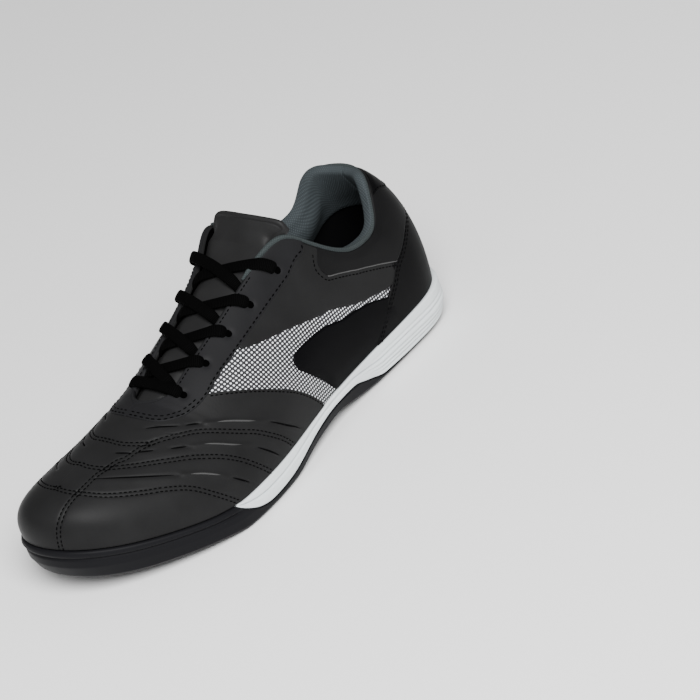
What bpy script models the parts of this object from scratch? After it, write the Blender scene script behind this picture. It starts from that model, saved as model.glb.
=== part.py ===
"""Low lace-up indoor sports shoe for the left foot, standing empty and flat on its sole."""

import math

import bmesh
import bpy
import numpy as np

# Lengths are in millimetres until a mesh is made; x runs from heel to toe, y to the outer side, z up
MM = 0.001
GAP = 0.3
WELD = 0.02
SHARP_ANGLE = 40

# Thicknesses
UPPER_WALL = 2.0
PANEL_THICKNESS = 0.9
PANEL_LIFT = 0.5
INSOLE_THICKNESS = 4.0
INSOLE_INSET = 3.2
TONGUE_THICKNESS = 4.5
TONGUE_EDGE = 1.6
LACE_WIDTH = 7.0
LACE_THICKNESS = 1.4

# Ribs of the last, from the toe along the ridge, throat and collar to the heel
# foot: where the rib leaves the sole; top: where it ends on ridge, throat or collar
# lean, rise and heading are in degrees; the two pulls set how full the rib is
RIB_COLUMNS = ("name", "foot_x_out", "foot_out", "foot_x_in", "foot_in", "top_x", "top_out", "top_in",
               "top_z", "lean", "foot_pull", "rise", "heading", "top_pull")
RIBS = (
    ("toe_tip", 291, -11, 291, -11, 266, -7, -7, 58, 10, 22, 13, 180, 18),
    ("toe_corner", 286, 8, 286, -28, 259, -6.5, -6.5, 59, 10, 22, 10, 150, 19),
    ("toe_side", 272, 24, 273, -39, 250, -6, -6, 59.5, 9, 20, 6, 122, 21),
    ("toe_back", 252, 36.5, 254, -44.5, 238, -5, -5, 60.5, 8, 19, 3, 104, 22),
    ("ball_front", 228, 46.5, 231, -46.5, 224, -4, -4, 62.8, 7, 19, 0, 95, 24),
    ("throat_tip", 203, 51, 208, -45, 208, -4, -4, 66.2, 6, 21, 0, 90, 26),
    ("throat_round", 182, 50.5, 186, -41.5, 201.6, 8.5, -13, 66.2, 5, 18.8, 17, 79, 23.5),
    ("instep_low", 160, 47.5, 163, -36, 180, 11, -13, 75, 4, 25, 24, 86, 25),
    ("instep", 138, 43, 140, -31.5, 153, 13, -15, 85.5, 3, 27, 36, 90, 25),
    ("instep_high", 116, 39, 118, -29.5, 124, 15, -20, 97.5, 3, 30, 50, 90, 25),
    ("collar_front", 96, 37, 98, -29.5, 100, 20, -31.5, 106, 3, 30, 66, 90, 22),
    ("ankle_front", 78, 36, 80, -30.5, 86, 27, -30, 93.5, 3, 24, 74, 88, 18),
    ("ankle", 58, 35.5, 58, -32.5, 63, 30, -32, 75.5, 3, 18, 72, 80, 14),
    ("ankle_back", 38, 34.5, 38, -32.5, 41, 27.5, -30.5, 74.5, 4, 18, 64, 66, 16),
    ("heel_side", 20, 32.5, 20, -29.5, 29, 19.5, -24.5, 91, 5, 24, 52, 46, 22),
    ("heel_corner", 6, 23.5, 6, -20.5, 23, 12, -15, 97, 4, 28, 44, 24, 26),
    ("heel_back", 0, 0, 0, 0, 19.5, 0, 0, 98, 3, 28, 42, 0, 29),
)
HEEL_ROW = len(RIBS) - 1
LOOP_ROWS = 2 * HEEL_ROW
LOOP_SOFTENING = 0.4

# How many steps the meshes take for each row of ribs
LOOP_STEPS = ((0, 13, 2), (13, 16, 3))
UPPER_LEVELS = 8

# Side view of the sole: its top, the floor of the white wedge and the tread
SOLE_COLUMNS = ("x", "top", "wedge_floor", "bottom")
SOLE = (
    (0, 25, 6, 4),
    (10, 24, 4.2, 1),
    (24, 22.8, 3.2, 0),
    (70, 20.8, 4, 0),
    (84, 20.1, 8.5, 1),
    (97, 19.6, 12.8, 3),
    (115, 18.9, 13.2, 6),
    (140, 17.9, 11, 4),
    (165, 17.2, 6, 0),
    (185, 16.8, 5, 0),
    (205, 16.4, 6.5, 0),
    (222, 17.8, 8, 2.4),
    (240, 21, 9, 4.4),
    (265, 26.2, 9, 7),
    (282, 30.5, 9, 10),
    (295, 34, 9, 13.5),
)
WEDGE_NOSE_START, WEDGE_NOSE_END = 186, 212
WEDGE_NOSE_BLUNT = 0.95

# How far the wall of the sole stands out from the foot of the upper, by share of the wall's height
WALL_SHARES = (0, 0.15, 0.5, 1)
WALL_COLUMNS = ("x", "edge", "low", "middle", "lip")
SOLE_WALL = (
    (0, 0, 3.5, 6, 5),
    (25, -3, 0.5, 3, 2.5),
    (60, -2.5, 0.5, 1.5, 1),
    (130, -1.5, 0.5, 1.5, 1),
    (210, 0, 2, 2.5, 1.5),
    (270, -4, -1, 1, 2),
    (295, -5, -2, 1.5, 2),
)

# Grooves round the walls: share of the piece's height, depth, half width, and where the groove fades out
GROOVE_COLUMNS = ("share", "depth", "half_width", "fade_start", "fade_end")
WEDGE_GROOVES = (
    (0.20, 1.2, 0.035, 70, 92),
    (0.36, 1.2, 0.035, 74, 96),
    (0.54, 1.3, 0.035, 230, 240),
)
OUTSOLE_GROOVES = ((0.74, 1.2, 0.04, 400, 420),)
ROUNDED_EDGE = 0.1

# Tread pockets cut into the outsole, from inner edge to outer edge at each place along the shoe
POCKET_DEPTH = 1.6
POCKET_BELOW = 6
POCKET_COLUMNS = ("x", "inner", "outer")
POCKETS = {
    "toe": ((216, -20, 32), (232, -26, 27), (250, -28, 19), (264, -25, 9), (272, -20, 1)),
    "ball_outer": ((150, 18, 31), (165, 16, 37), (185, 14, 39), (206, 14, 37)),
    "ball_centre": ((150, -4, 13), (168, -2, 11), (180, 3, 9), (206, 4, 9)),
    "ball_inner": ((148, -26, -8), (158, -28, -8), (168, -31, -12)),
    "toe_inner": ((214, -36, -26), (228, -37, -31), (240, -36.5, -31)),
    "heel_outer": ((20, 3, 18), (34, 3, 22), (52, 3, 24), (68, 3, 25)),
    "heel_inner": ((20, -18, -3), (34, -20, -3), (52, -21, -3), (68, -21, -3)),
}
PIVOT_X, PIVOT_Y = 187, -18
PIVOT_RADIUS = 13
PIVOT_GROOVE = 2

# Overlay panels: place along the loop of ribs, then the lower and upper edge as shares of the rib
PANEL_COLUMNS = ("loop", "low", "high")
EYESTAY = (
    (4.46, 0.97, 1), (4.6, 0.88, 1), (4.93, 0.75, 1), (5.78, 0.775, 1), (7.2, 0.78, 1),
    (8.8, 0.756, 1), (9.5, 0.756, 1), (10, 0.8, 1), (10.5, 0.875, 1),
)
VAMP = (
    (0, 0.012, 1), (4.4, 0.012, 1), (4.6, 0.012, 0.855), (4.93, 0.012, 0.725), (5.78, 0.012, 0.75),
    (6.68, 0.012, 0.745), (7, 0.012, 0.63), (7.32, 0.012, 0.51), (7.65, 0.012, 0.39), (8.05, 0.012, 0.25),
    (8.58, 0.012, 0.035),
)
QUARTER_BAND = (
    (8, 0.715, 0.745), (8.28, 0.656, 0.745), (8.93, 0.544, 0.733), (9.75, 0.431, 0.75),
    (10.4, 0.415, 0.83), (10.62, 0.414, 0.88), (10.72, 0.413, 0.86), (10.8, 0.413, 0.64),
    (11.1, 0.415, 0.66), (11.98, 0.444, 0.73), (12.48, 0.42, 0.645), (12.9, 0.53, 0.575),
)
SIDE_PANEL = (
    (8.43, 0.36, 0.4), (8.65, 0.235, 0.42), (8.98, 0.116, 0.413), (9.33, 0.012, 0.395),
    (10.43, 0.012, 0.34), (11.3, 0.03, 0.38), (11.7, 0.18, 0.395), (12.2, 0.325, 0.355),
)
HEEL_COUNTER = (
    (11.45, 0.012, 0.045), (11.7, 0.012, 0.13), (12.18, 0.012, 0.28), (12.5, 0.012, 0.38),
    (13.12, 0.012, 0.55), (13.9, 0.012, 0.56), (14.35, 0.012, 0.575), (16, 0.012, 0.6),
)
COLLAR_PANEL = (
    (10.84, 0.68, 0.985), (11.12, 0.688, 0.985), (11.98, 0.756, 0.985), (12.48, 0.675, 0.985),
    (13.12, 0.585, 0.985), (13.9, 0.585, 0.985), (14.35, 0.6, 0.985), (16, 0.62, 0.985),
)

# Eyelets, from the toe up: place along the loop and share of the rib
EYELET_COLUMNS = ("loop", "level")
EYELETS = ((6.4, 0.9), (7.23, 0.894), (7.95, 0.881), (8.62, 0.863), (9.5, 0.844))
EYELET_RADIUS = 2.2

# Padded lining of the collar: share of the rib, depth of the padding there
PAD_COLUMNS = ("level", "depth")
COLLAR_PAD = ((0.5, 1), (0.62, 4), (0.75, 6), (0.88, 6.5), (0.98, 5))
PAD_SHARE_COLUMNS = ("loop", "share")
PAD_SHARES = ((10.3, 0.4), (11, 0.75), (12, 1), (13.5, 0.95), (14.5, 0.75), (16, 0.7))
PAD_START = PAD_SHARES[0][0]
PAD_END_STEP = 0.2
PAD_CROWN = 2.5
PAD_CROWN_DEPTH = 3

# Tongue, from under the vamp to past the collar
TONGUE_START, TONGUE_COLLAR = 6.1, 9.6
TONGUE_RISE = np.array([-0.55, 0.0, 0.835])
TONGUE_LENGTH_PAST = 16.5
TONGUE_PAST_COLUMNS = ("share", "width", "arch", "shift")
TONGUE_PAST = ((0.2, 0.89, 0.95, 0.2), (0.45, 0.8, 0.81, 0.8), (0.7, 0.86, 0.62, 2.4), (0.88, 0.97, 0.58, 3.5),
               (1, 0.9, 0.58, 4))
TONGUE_STEPS = 11
TONGUE_ACROSS = 9
TONGUE_WING_LEVELS = (0.86, 0.985)
TONGUE_CLEARANCE = 1.4
TONGUE_CROWN = 2.5

# The lace lies over the eyestay and the tongue
INSTEP_UP = np.array([0.35, 0.0, 0.937])
LACE_LIFT = 2.95
LACE_STEPS = 9
LACE_COVER_LEVELS = (0.86, 1.0)
LACE_EYELET = 1.8
LACE_EDGE = 0.75
LACE_END_SHIFT = 0.34
LACE_CROSSING_HUMP = 1.1

# Colour, roughness and metallic value of each material
MATERIALS = {
    "black_leather": ((0.018, 0.018, 0.02), 0.45, 0),
    "black_mesh": ((0.12, 0.12, 0.125), 0.75, 0),
    "grey_lining": ((0.055, 0.068, 0.072), 0.85, 0),
    "black_rubber": ((0.02, 0.02, 0.022), 0.6, 0),
    "white_foam": ((0.75, 0.78, 0.77), 0.5, 0),
    "black_lace": ((0.008, 0.008, 0.008), 0.8, 0),
}


def limited_slopes(steps, values):
    """Slopes at the inner knots that keep a curve from overshooting, and those of the straight runs."""
    secant = np.diff(values, axis=0) / steps[:, None]
    before, after = secant[:-1], secant[1:]
    mean = (before + after) / 2
    limit = 3 * np.minimum(abs(before), abs(after))
    inner = np.where(before * after > 0, np.sign(mean) * np.minimum(abs(mean), limit), 0.0)
    return inner, secant


def hermite(knots, values, slope, at):
    """A smooth curve through the values at the knots, read at the places given."""
    k = np.clip(np.searchsorted(knots, at, side="right") - 1, 0, len(knots) - 2)
    step = (knots[k + 1] - knots[k])[:, None]
    t = ((at - knots[k]) / step[:, 0])[:, None]
    start = (1 + 2 * t) * (1 - t) ** 2 * values[k] + t * (1 - t) ** 2 * step * slope[k]
    return start + t * t * (3 - 2 * t) * values[k + 1] + t * t * (t - 1) * step * slope[k + 1]


def read(table, columns, at):
    """The named columns of a table, read at places along its first column."""
    rows = np.array(table, float)
    knots, values = rows[:, 0], rows[:, 1:]
    at = np.clip(np.atleast_1d(np.asarray(at, float)), knots[0], knots[-1])
    inner, secant = limited_slopes(np.diff(knots), values)
    result = hermite(knots, values, np.vstack([secant[:1], inner, secant[-1:]]), at)
    return dict(zip(columns[1:], result.T))


def read_straight(table, columns, at):
    """The named columns of a table, read along straight lines between its rows."""
    rows = np.array(table, float)
    return {name: np.interp(at, rows[:, 0], rows[:, k + 1]) for k, name in enumerate(columns[1:])}


def rib_loop():
    """The ribs as one closed loop: outer side from toe to heel, then inner side back to the toe."""
    table = [dict(zip(RIB_COLUMNS, row)) for row in RIBS]
    shared = ("top_z", "lean", "foot_pull", "rise", "heading", "top_pull")
    outer_names = ("foot_x_out", "foot_out", "top_x", "top_out") + shared
    inner_names = ("foot_x_in", "foot_in", "top_x", "top_in") + shared
    outer = [[row[name] for name in outer_names] for row in table]
    inner = [[row[name] for name in inner_names] for row in table]
    return np.array(outer + inner[-2:0:-1], float)


LOOP = rib_loop()


def around(columns, at):
    """Columns of the closed loop of ribs, read at places counted in rows and evened out between rows."""
    rows = LOOP[:, columns]
    padded = np.vstack([rows[-2:], rows, rows[:3]])
    inner, _ = limited_slopes(np.ones(len(padded) - 1), padded)
    slope = np.vstack([inner[:1], inner, inner[-1:]])
    knots = np.arange(-2.0, LOOP_ROWS + 3)
    before, here, after = (hermite(knots, padded, slope, (np.asarray(at, float) + move) % LOOP_ROWS)
                           for move in (-LOOP_SOFTENING, 0, LOOP_SOFTENING))
    return before / 4 + here / 2 + after / 4


def outward(at):
    """Unit vectors in plan that point out of the foot's outline."""
    step = 0.02
    along = around(slice(0, 2), np.asarray(at) + step) - around(slice(0, 2), np.asarray(at) - step)
    along /= np.linalg.norm(along, axis=1, keepdims=True)
    return np.stack([along[:, 1], -along[:, 0]], 1)


def sole_height(x, column):
    return read(SOLE, SOLE_COLUMNS, x)[column]


def skin(at, level):
    """Points on the outside of the upper: place along the loop, and share of the rib from foot to top."""
    at, level = np.broadcast_arrays(np.asarray(at, float), np.asarray(level, float))
    shape = at.shape
    at = at.ravel()
    t = level.reshape(-1, 1)
    ribs = around(slice(None), at).T
    foot_x, foot_y, top_x, top_y, top_z, lean, foot_pull, rise, heading, top_pull = ribs
    lean, rise, heading = np.radians(lean), np.radians(rise), np.radians(heading)
    side = np.where(at % LOOP_ROWS <= HEEL_ROW, 1.0, -1.0)
    foot = np.stack([foot_x, foot_y, sole_height(foot_x, "top") + GAP], 1)
    top = np.stack([top_x, top_y, top_z], 1)
    leave = np.column_stack([outward(at) * np.sin(lean)[:, None], np.cos(lean)])
    level_run = np.cos(rise)
    arrive = np.stack([np.cos(heading) * level_run, -side * np.sin(heading) * level_run, np.sin(rise)], 1)
    low = foot + foot_pull[:, None] * leave
    high = top - top_pull[:, None] * arrive
    point = (1 - t) ** 3 * foot + 3 * t * (1 - t) ** 2 * low + 3 * t * t * (1 - t) * high + t ** 3 * top
    return point.reshape(shape + (3,))


def skin_normal(at, level):
    """Unit vectors that point out of the upper."""
    step_at, step_level = 0.02, 0.01
    at = np.asarray(at, float)
    below = np.clip(np.asarray(level, float) - step_level, 0, 1)
    above = np.clip(np.asarray(level, float) + step_level, 0, 1)
    along = skin(at + step_at, level) - skin(at - step_at, level)
    up = skin(at, above) - skin(at, below)
    normal = np.cross(along, up)
    return normal / np.linalg.norm(normal, axis=-1, keepdims=True)


def outer_stations():
    """Places along the outer half of the loop, closer together where the outline turns."""
    runs = []
    for first, last, steps in LOOP_STEPS:
        runs.append(np.linspace(first, last, (last - first) * steps, endpoint=False))
    return np.concatenate(runs + [[HEEL_ROW]])


def loop_stations():
    """Places round the whole loop, the same on both sides."""
    outer = outer_stations()
    return np.concatenate([outer, LOOP_ROWS - outer[-2:0:-1]])


def new_object(name, vertices, faces, material):
    """A mesh object made from points in millimetres."""
    mesh = bpy.data.meshes.new(name)
    centred = (np.asarray(vertices, float) - CENTRE) * MM
    mesh.from_pydata(centred.tolist(), [], faces)
    mesh.materials.append(bpy.data.materials[material])
    thing = bpy.data.objects.new(name, mesh)
    bpy.context.scene.collection.objects.link(thing)
    return thing


def smooth(thing):
    thing.data.shade_smooth()
    thing.data.set_sharp_from_angle(angle=math.radians(SHARP_ANGLE))


def face_outwards(thing):
    """Turns the faces of a closed mesh to point out."""
    shape = bmesh.new()
    shape.from_mesh(thing.data)
    bmesh.ops.recalc_face_normals(shape, faces=shape.faces)
    shape.to_mesh(thing.data)
    shape.free()


def cut_away(thing, cutter, operation="DIFFERENCE"):
    """Cuts one object with another, which then stays as a hidden guide."""
    cutter.hide_render = True
    cutter.display_type = "WIRE"
    cut = thing.modifiers.new(f"{operation.lower()}_{cutter.name}", "BOOLEAN")
    cut.object = cutter
    cut.operation = operation
    cut.solver = "EXACT"


def grid_faces(columns, rows, closed=False):
    """Four-sided faces over points numbered column by column."""
    last = columns if closed else columns - 1
    faces = []
    for i in range(last):
        here, there = i * rows, (i + 1) % columns * rows
        faces += [(here + j, there + j, there + j + 1, here + j + 1) for j in range(rows - 1)]
    return faces


def sheet(name, grids, lift, thickness, material, closed=False):
    """A shell over grids of points: joined where they meet, lifted off them and thickened inwards."""
    vertices, faces = [], []
    for grid in grids:
        base = len(vertices)
        columns, rows = grid.shape[:2]
        vertices += grid.reshape(-1, 3).tolist()
        faces += [tuple(base + k for k in face) for face in grid_faces(columns, rows, closed)]
    thing = new_object(name, vertices, faces, material)
    shape = bmesh.new()
    shape.from_mesh(thing.data)
    bmesh.ops.remove_doubles(shape, verts=shape.verts, dist=WELD * MM)
    bmesh.ops.triangulate(shape, faces=shape.faces, quad_method="SHORT_EDGE")
    shape.normal_update()
    moves = [(vertex, vertex.normal * lift * MM) for vertex in shape.verts]
    for vertex, move in moves:
        vertex.co += move
    shape.to_mesh(thing.data)
    shape.free()
    thicken = thing.modifiers.new("thickness", "SOLIDIFY")
    thicken.thickness = thickness * MM
    thicken.offset = -1
    thicken.use_even_offset = True
    smooth(thing)
    return thing


def pad_between(name, top, bottom, material):
    """A closed pad between two grids of points of one size."""
    columns, rows = top.shape[:2]
    count = columns * rows
    faces = grid_faces(columns, rows)
    faces += [tuple(count + k for k in reversed(face)) for face in faces]
    rim = list(range(rows)) + list(range(2 * rows - 1, count, rows))
    rim += list(range(count - 2, count - rows - 1, -1)) + list(range(count - 2 * rows, 0, -rows))
    for here, there in zip(rim, rim[1:] + rim[:1]):
        faces.append((here, there, count + there, count + here))
    thing = new_object(name, np.vstack([top.reshape(-1, 3), bottom.reshape(-1, 3)]), faces, material)
    face_outwards(thing)
    smooth(thing)


def wall_offset(x, share):
    """How far the wall of the sole stands out at each place, at a share of its height."""
    rings = read(SOLE_WALL, WALL_COLUMNS, x)
    stack = np.stack([rings[name] for name in WALL_COLUMNS[1:]])
    shares = np.broadcast_to(share, np.shape(x))
    return np.array([np.interp(shares[k], WALL_SHARES, stack[:, k]) for k in range(len(x))])


def groove_levels(grooves):
    """Shares of a wall's height where its mesh has an edge, with the groove that is deepest there."""
    levels = [(0.0, None), (ROUNDED_EDGE, None), (1.0, None)]
    for row in grooves:
        groove = dict(zip(GROOVE_COLUMNS, row))
        levels += [(groove["share"] - groove["half_width"], None), (groove["share"], groove)]
        levels += [(groove["share"] + groove["half_width"], None)]
    return sorted(levels, key=lambda level: level[0])


def lofted_sole(name, low_column, grooves, material):
    """A block between a lower column of the sole's table and its top, with grooved walls."""
    at = loop_stations()
    plan = around(slice(0, 2), at)
    out = outward(at)
    x = plan[:, 0]
    low, top, bottom = (sole_height(x, column) for column in (low_column, "top", "bottom"))
    rings = []
    for share, groove in groove_levels(grooves):
        z = low + (top - low) * share
        offset = wall_offset(x, (z - bottom) / (top - bottom))
        if groove:
            fade = np.clip((groove["fade_end"] - x) / (groove["fade_end"] - groove["fade_start"]), 0, 1)
            offset -= groove["depth"] * fade
        rings.append(np.column_stack([plan + out * offset[:, None], z]))
    count, levels = len(at), len(rings)
    vertices = np.stack(rings, 1).reshape(-1, 3)
    faces = grid_faces(count, levels, closed=True)
    half = count // 2
    for level in (0, levels - 1):
        strip = [(i, i + 1, (count - i - 1) % count, (count - i) % count) for i in range(half)]
        strip = [tuple(dict.fromkeys(corners)) for corners in strip]
        faces += [tuple(k * levels + level for k in corners) for corners in strip]
    thing = new_object(name, vertices, faces, material)
    face_outwards(thing)
    smooth(thing)
    return thing


def wedge_block(name, gap):
    """The space that the white wedge takes out of the sole, drawn in side view and run across the shoe."""
    far, wide, back = 60, 90, -20
    floor_steps, nose_steps = 24, 8
    x = np.linspace(0, WEDGE_NOSE_START, floor_steps)
    floor = sole_height(x, "wedge_floor")
    share = np.linspace(0, WEDGE_NOSE_BLUNT, nose_steps)[1:]
    nose_x = WEDGE_NOSE_START + (WEDGE_NOSE_END - WEDGE_NOSE_START) * share
    nose_z = floor[-1] + (sole_height(nose_x, "top") - floor[-1]) * share ** 2
    profile = [(back, floor[0])] + list(zip(np.append(x, nose_x), np.append(floor, nose_z)))
    profile = [(px + gap * (px > WEDGE_NOSE_START), pz - gap) for px, pz in profile]
    profile += [(profile[-1][0], far), (back, far)]
    count = len(profile)
    vertices = [(px, y, pz) for y in (-wide, wide) for px, pz in profile]
    faces = [tuple(range(count)), tuple(range(2 * count - 1, count - 1, -1))]
    faces += [(k, (k + 1) % count, count + (k + 1) % count, count + k) for k in range(count)]
    thing = new_object(name, vertices, faces, "white_foam")
    face_outwards(thing)
    return thing


def pocket_cutter(name, rows):
    """A block below the tread that reaches a pocket's depth into it."""
    steps = 6
    x = np.linspace(rows[0][0], rows[-1][0], steps)
    edges = read(rows, POCKET_COLUMNS, x)
    bottom = sole_height(x, "bottom")
    corners = [(edges["inner"], bottom - POCKET_BELOW), (edges["outer"], bottom - POCKET_BELOW),
               (edges["outer"], bottom + POCKET_DEPTH), (edges["inner"], bottom + POCKET_DEPTH)]
    rings = np.stack([np.column_stack([x, y, z]) for y, z in corners], 1)
    faces = [(4 * i + j, 4 * i + (j + 1) % 4, 4 * i + 4 + (j + 1) % 4, 4 * i + 4 + j)
             for i in range(steps - 1) for j in range(4)]
    faces += [(3, 2, 1, 0), tuple(4 * (steps - 1) + j for j in range(4))]
    thing = new_object(name, rings.reshape(-1, 3), faces, "black_rubber")
    face_outwards(thing)
    return thing


def pivot_cutter(name):
    """A ring below the tread that leaves a round pivot disc standing."""
    sides = 24
    turn = np.linspace(0, 2 * np.pi, sides, endpoint=False)
    outer, inner = PIVOT_RADIUS + PIVOT_GROOVE / 2, PIVOT_RADIUS - PIVOT_GROOVE / 2
    corners = ((inner, -POCKET_BELOW), (outer, -POCKET_BELOW), (outer, POCKET_DEPTH), (inner, POCKET_DEPTH))
    rings = []
    for radius, z in corners:
        x, y = PIVOT_X + radius * np.cos(turn), PIVOT_Y + radius * np.sin(turn)
        rings.append(np.column_stack([x, y, np.full(sides, z)]))
    faces = []
    for i in range(sides):
        here, there = 4 * i, 4 * ((i + 1) % sides)
        faces += [(here + j, here + (j + 1) % 4, there + (j + 1) % 4, there + j) for j in range(4)]
    thing = new_object(name, np.stack(rings, 1).reshape(-1, 3), faces, "black_rubber")
    face_outwards(thing)
    return thing


def make_outsole():
    outsole = lofted_sole("outsole", "bottom", OUTSOLE_GROOVES, "black_rubber")
    cut_away(outsole, wedge_block("wedge_space", GAP))
    for zone, rows in POCKETS.items():
        cut_away(outsole, pocket_cutter(f"pocket_{zone}", rows))
    cut_away(outsole, pivot_cutter("pocket_pivot"))


def make_midsole():
    midsole = lofted_sole("midsole", "wedge_floor", WEDGE_GROOVES, "white_foam")
    cut_away(midsole, wedge_block("wedge_limit", 0), "INTERSECT")


def make_insole():
    """A flat footbed that stays clear of the wall."""
    at = loop_stations()
    plan = around(slice(0, 2), at) - outward(at) * INSOLE_INSET
    base = sole_height(plan[:, 0], "top") + GAP
    count = len(at)
    low = np.column_stack([plan, base])
    high = np.column_stack([plan, base + INSOLE_THICKNESS])
    half = count // 2
    strip = [(i, i + 1, (count - i - 1) % count, (count - i) % count) for i in range(half)]
    strip = [tuple(dict.fromkeys(corners)) for corners in strip]
    faces = strip + [tuple(count + k for k in corners) for corners in strip]
    faces += [(k, (k + 1) % count, count + (k + 1) % count, count + k) for k in range(count)]
    insole = new_object("insole", np.vstack([low, high]), faces, "grey_lining")
    face_outwards(insole)
    smooth(insole)


def eyelet_places():
    """Place and direction of every eyelet, outer row first, each row from the toe up."""
    places = []
    for mirrored in (False, True):
        for row in EYELETS:
            eyelet = dict(zip(EYELET_COLUMNS, row))
            at = LOOP_ROWS - eyelet["loop"] if mirrored else eyelet["loop"]
            places.append((skin(at, eyelet["level"]), skin_normal(at, eyelet["level"])))
    return places


def eyelet_cutters():
    """Round punches through eyestay and upper."""
    sides, reach = 8, 6
    turn = np.linspace(0, 2 * np.pi, sides, endpoint=False)
    cutters = []
    for number, (point, normal) in enumerate(eyelet_places()):
        across = np.cross(normal, INSTEP_UP)
        across /= np.linalg.norm(across)
        along = np.cross(normal, across)
        ring = point + EYELET_RADIUS * (np.outer(np.cos(turn), across) + np.outer(np.sin(turn), along))
        vertices = np.vstack([ring - reach * normal, ring + reach * normal])
        faces = [tuple(range(sides)), tuple(range(sides, 2 * sides))]
        faces += [(k, (k + 1) % sides, sides + (k + 1) % sides, sides + k) for k in range(sides)]
        cutter = new_object(f"eyelet_punch_{number}", vertices, faces, "black_leather")
        face_outwards(cutter)
        cutters.append(cutter)
    return cutters


def make_upper(punches):
    at = loop_stations()
    level = np.linspace(0, 1, UPPER_LEVELS)
    grid = skin(*np.meshgrid(at, level, indexing="ij"))
    upper = sheet("upper", [grid], 0, UPPER_WALL, "black_mesh", closed=True)
    for punch in punches:
        cut_away(upper, punch)


def panel_grid(rows, steps, mirrored, across_heel=False):
    """Points on the skin between a panel's lower and upper edge."""
    first, last = rows[0][0], rows[-1][0]
    close = 0.05
    base = outer_stations()
    between = base[(base > first + close) & (base < last - close)]
    at = np.unique(np.concatenate([between, [row[0] for row in rows]]))
    edges = read_straight(rows, PANEL_COLUMNS, at)
    low, high = edges["low"], edges["high"]
    if across_heel:
        at = np.concatenate([at, LOOP_ROWS - at[-2::-1]])
        low = np.concatenate([low, low[-2::-1]])
        high = np.concatenate([high, high[-2::-1]])
    elif mirrored:
        at, low, high = LOOP_ROWS - at[::-1], low[::-1], high[::-1]
    share = np.linspace(0, 1, steps)
    level = low[:, None] + (high - low)[:, None] * share
    return skin(np.repeat(at[:, None], steps, 1), level)


def make_panels(punches):
    lift = PANEL_LIFT + PANEL_THICKNESS
    both_sides = (False, True)
    grids = {
        "eyestay": [panel_grid(EYESTAY, 3, mirrored) for mirrored in both_sides],
        "vamp": [panel_grid(VAMP, 7, mirrored) for mirrored in both_sides],
        "heel_counter": [panel_grid(HEEL_COUNTER, 4, False, True)],
        "collar_panel": [panel_grid(COLLAR_PANEL, 3, False, True)],
    }
    for mirrored, side in zip(both_sides, ("outer", "inner")):
        grids[f"quarter_band_{side}"] = [panel_grid(QUARTER_BAND, 3, mirrored)]
        grids[f"side_panel_{side}"] = [panel_grid(SIDE_PANEL, 3, mirrored)]
    panels = {name: sheet(name, grid, lift, PANEL_THICKNESS, "black_leather") for name, grid in grids.items()}
    for punch in punches:
        cut_away(panels["eyestay"], punch)


def make_collar_pad():
    """A padded roll that lines the collar from one side of the throat round the heel to the other."""
    outer = outer_stations()
    side = np.append(PAD_START, outer[outer > PAD_START + PAD_END_STEP])
    at = np.concatenate([side, LOOP_ROWS - side[-2::-1]])
    roll = dict(zip(PAD_COLUMNS, np.array(COLLAR_PAD).T))
    share = read(PAD_SHARES, PAD_SHARE_COLUMNS, np.minimum(at, LOOP_ROWS - at))["share"][:, None]
    place, level = np.meshgrid(at, roll["level"], indexing="ij")
    skin_points, normals = skin(place, level), skin_normal(place, level)
    behind = UPPER_WALL + 2 * GAP
    back = skin_points - normals * behind
    front = skin_points - normals * (behind + share * roll["depth"])[:, :, None]
    rim, rim_normal = skin(at, 1.0), skin_normal(at, 1.0)
    rim_up = rim - skin(at, 0.95)
    rim_up /= np.linalg.norm(rim_up, axis=1, keepdims=True)
    crown = rim - rim_normal * (behind + PAD_CROWN_DEPTH * share) + rim_up * PAD_CROWN * share
    section = np.concatenate([back, crown[:, None], front[:, ::-1]], 1)
    count, corners = section.shape[:2]
    faces = []
    for here in range(0, (count - 1) * corners, corners):
        there = here + corners
        for j in range(corners):
            after = (j + 1) % corners
            faces.append((here + j, there + j, there + after, here + after))
    faces += [tuple(range(corners)), tuple((count - 1) * corners + j for j in range(corners))]
    pad = new_object("collar_pad", section.reshape(-1, 3), faces, "grey_lining")
    face_outwards(pad)
    smooth(pad)


def tongue_section(at):
    """Points across the tongue: under one side of the throat, over the instep, under the other side."""
    below = UPPER_WALL + TONGUE_CLEARANCE
    levels = np.array(TONGUE_WING_LEVELS)
    sides = (at, LOOP_ROWS - at)
    outer, inner = (skin(place, levels) - skin_normal(place, levels) * below for place in sides)
    middle = (outer[1] + inner[1]) / 2 + INSTEP_UP * TONGUE_CROWN
    return np.array([outer[0], outer[1], middle, inner[1], inner[0]])


def make_tongue():
    places = np.linspace(TONGUE_START, TONGUE_COLLAR, TONGUE_STEPS)
    sections = [tongue_section(at) for at in places]
    last = sections[-1]
    crown = last[len(last) // 2]
    for values in TONGUE_PAST:
        row = dict(zip(TONGUE_PAST_COLUMNS, values))
        spread = (last - crown) * (1, row["width"], row["arch"])
        moved = TONGUE_RISE * TONGUE_LENGTH_PAST * row["share"] + (0, row["shift"], 0)
        sections.append(crown + spread + moved)
    corners = len(last)
    across = np.linspace(0, corners - 1, TONGUE_ACROSS)
    columns = ("corner", "x", "y", "z")
    grid = []
    for section in sections:
        points = read(np.column_stack([np.arange(corners), section]), columns, across)
        grid.append(np.stack([points["x"], points["y"], points["z"]], 1))
    top = np.array(grid)
    down = np.cross(np.gradient(top, axis=1), np.gradient(top, axis=0))
    down = down / np.linalg.norm(down, axis=2, keepdims=True) - INSTEP_UP
    down /= np.linalg.norm(down, axis=2, keepdims=True)
    fullness = 1 - np.linspace(-1, 1, TONGUE_ACROSS) ** 2
    thickness = TONGUE_EDGE + (TONGUE_THICKNESS - TONGUE_EDGE) * fullness
    pad_between("tongue", top, top + down * thickness[None, :, None], "black_leather")


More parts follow.
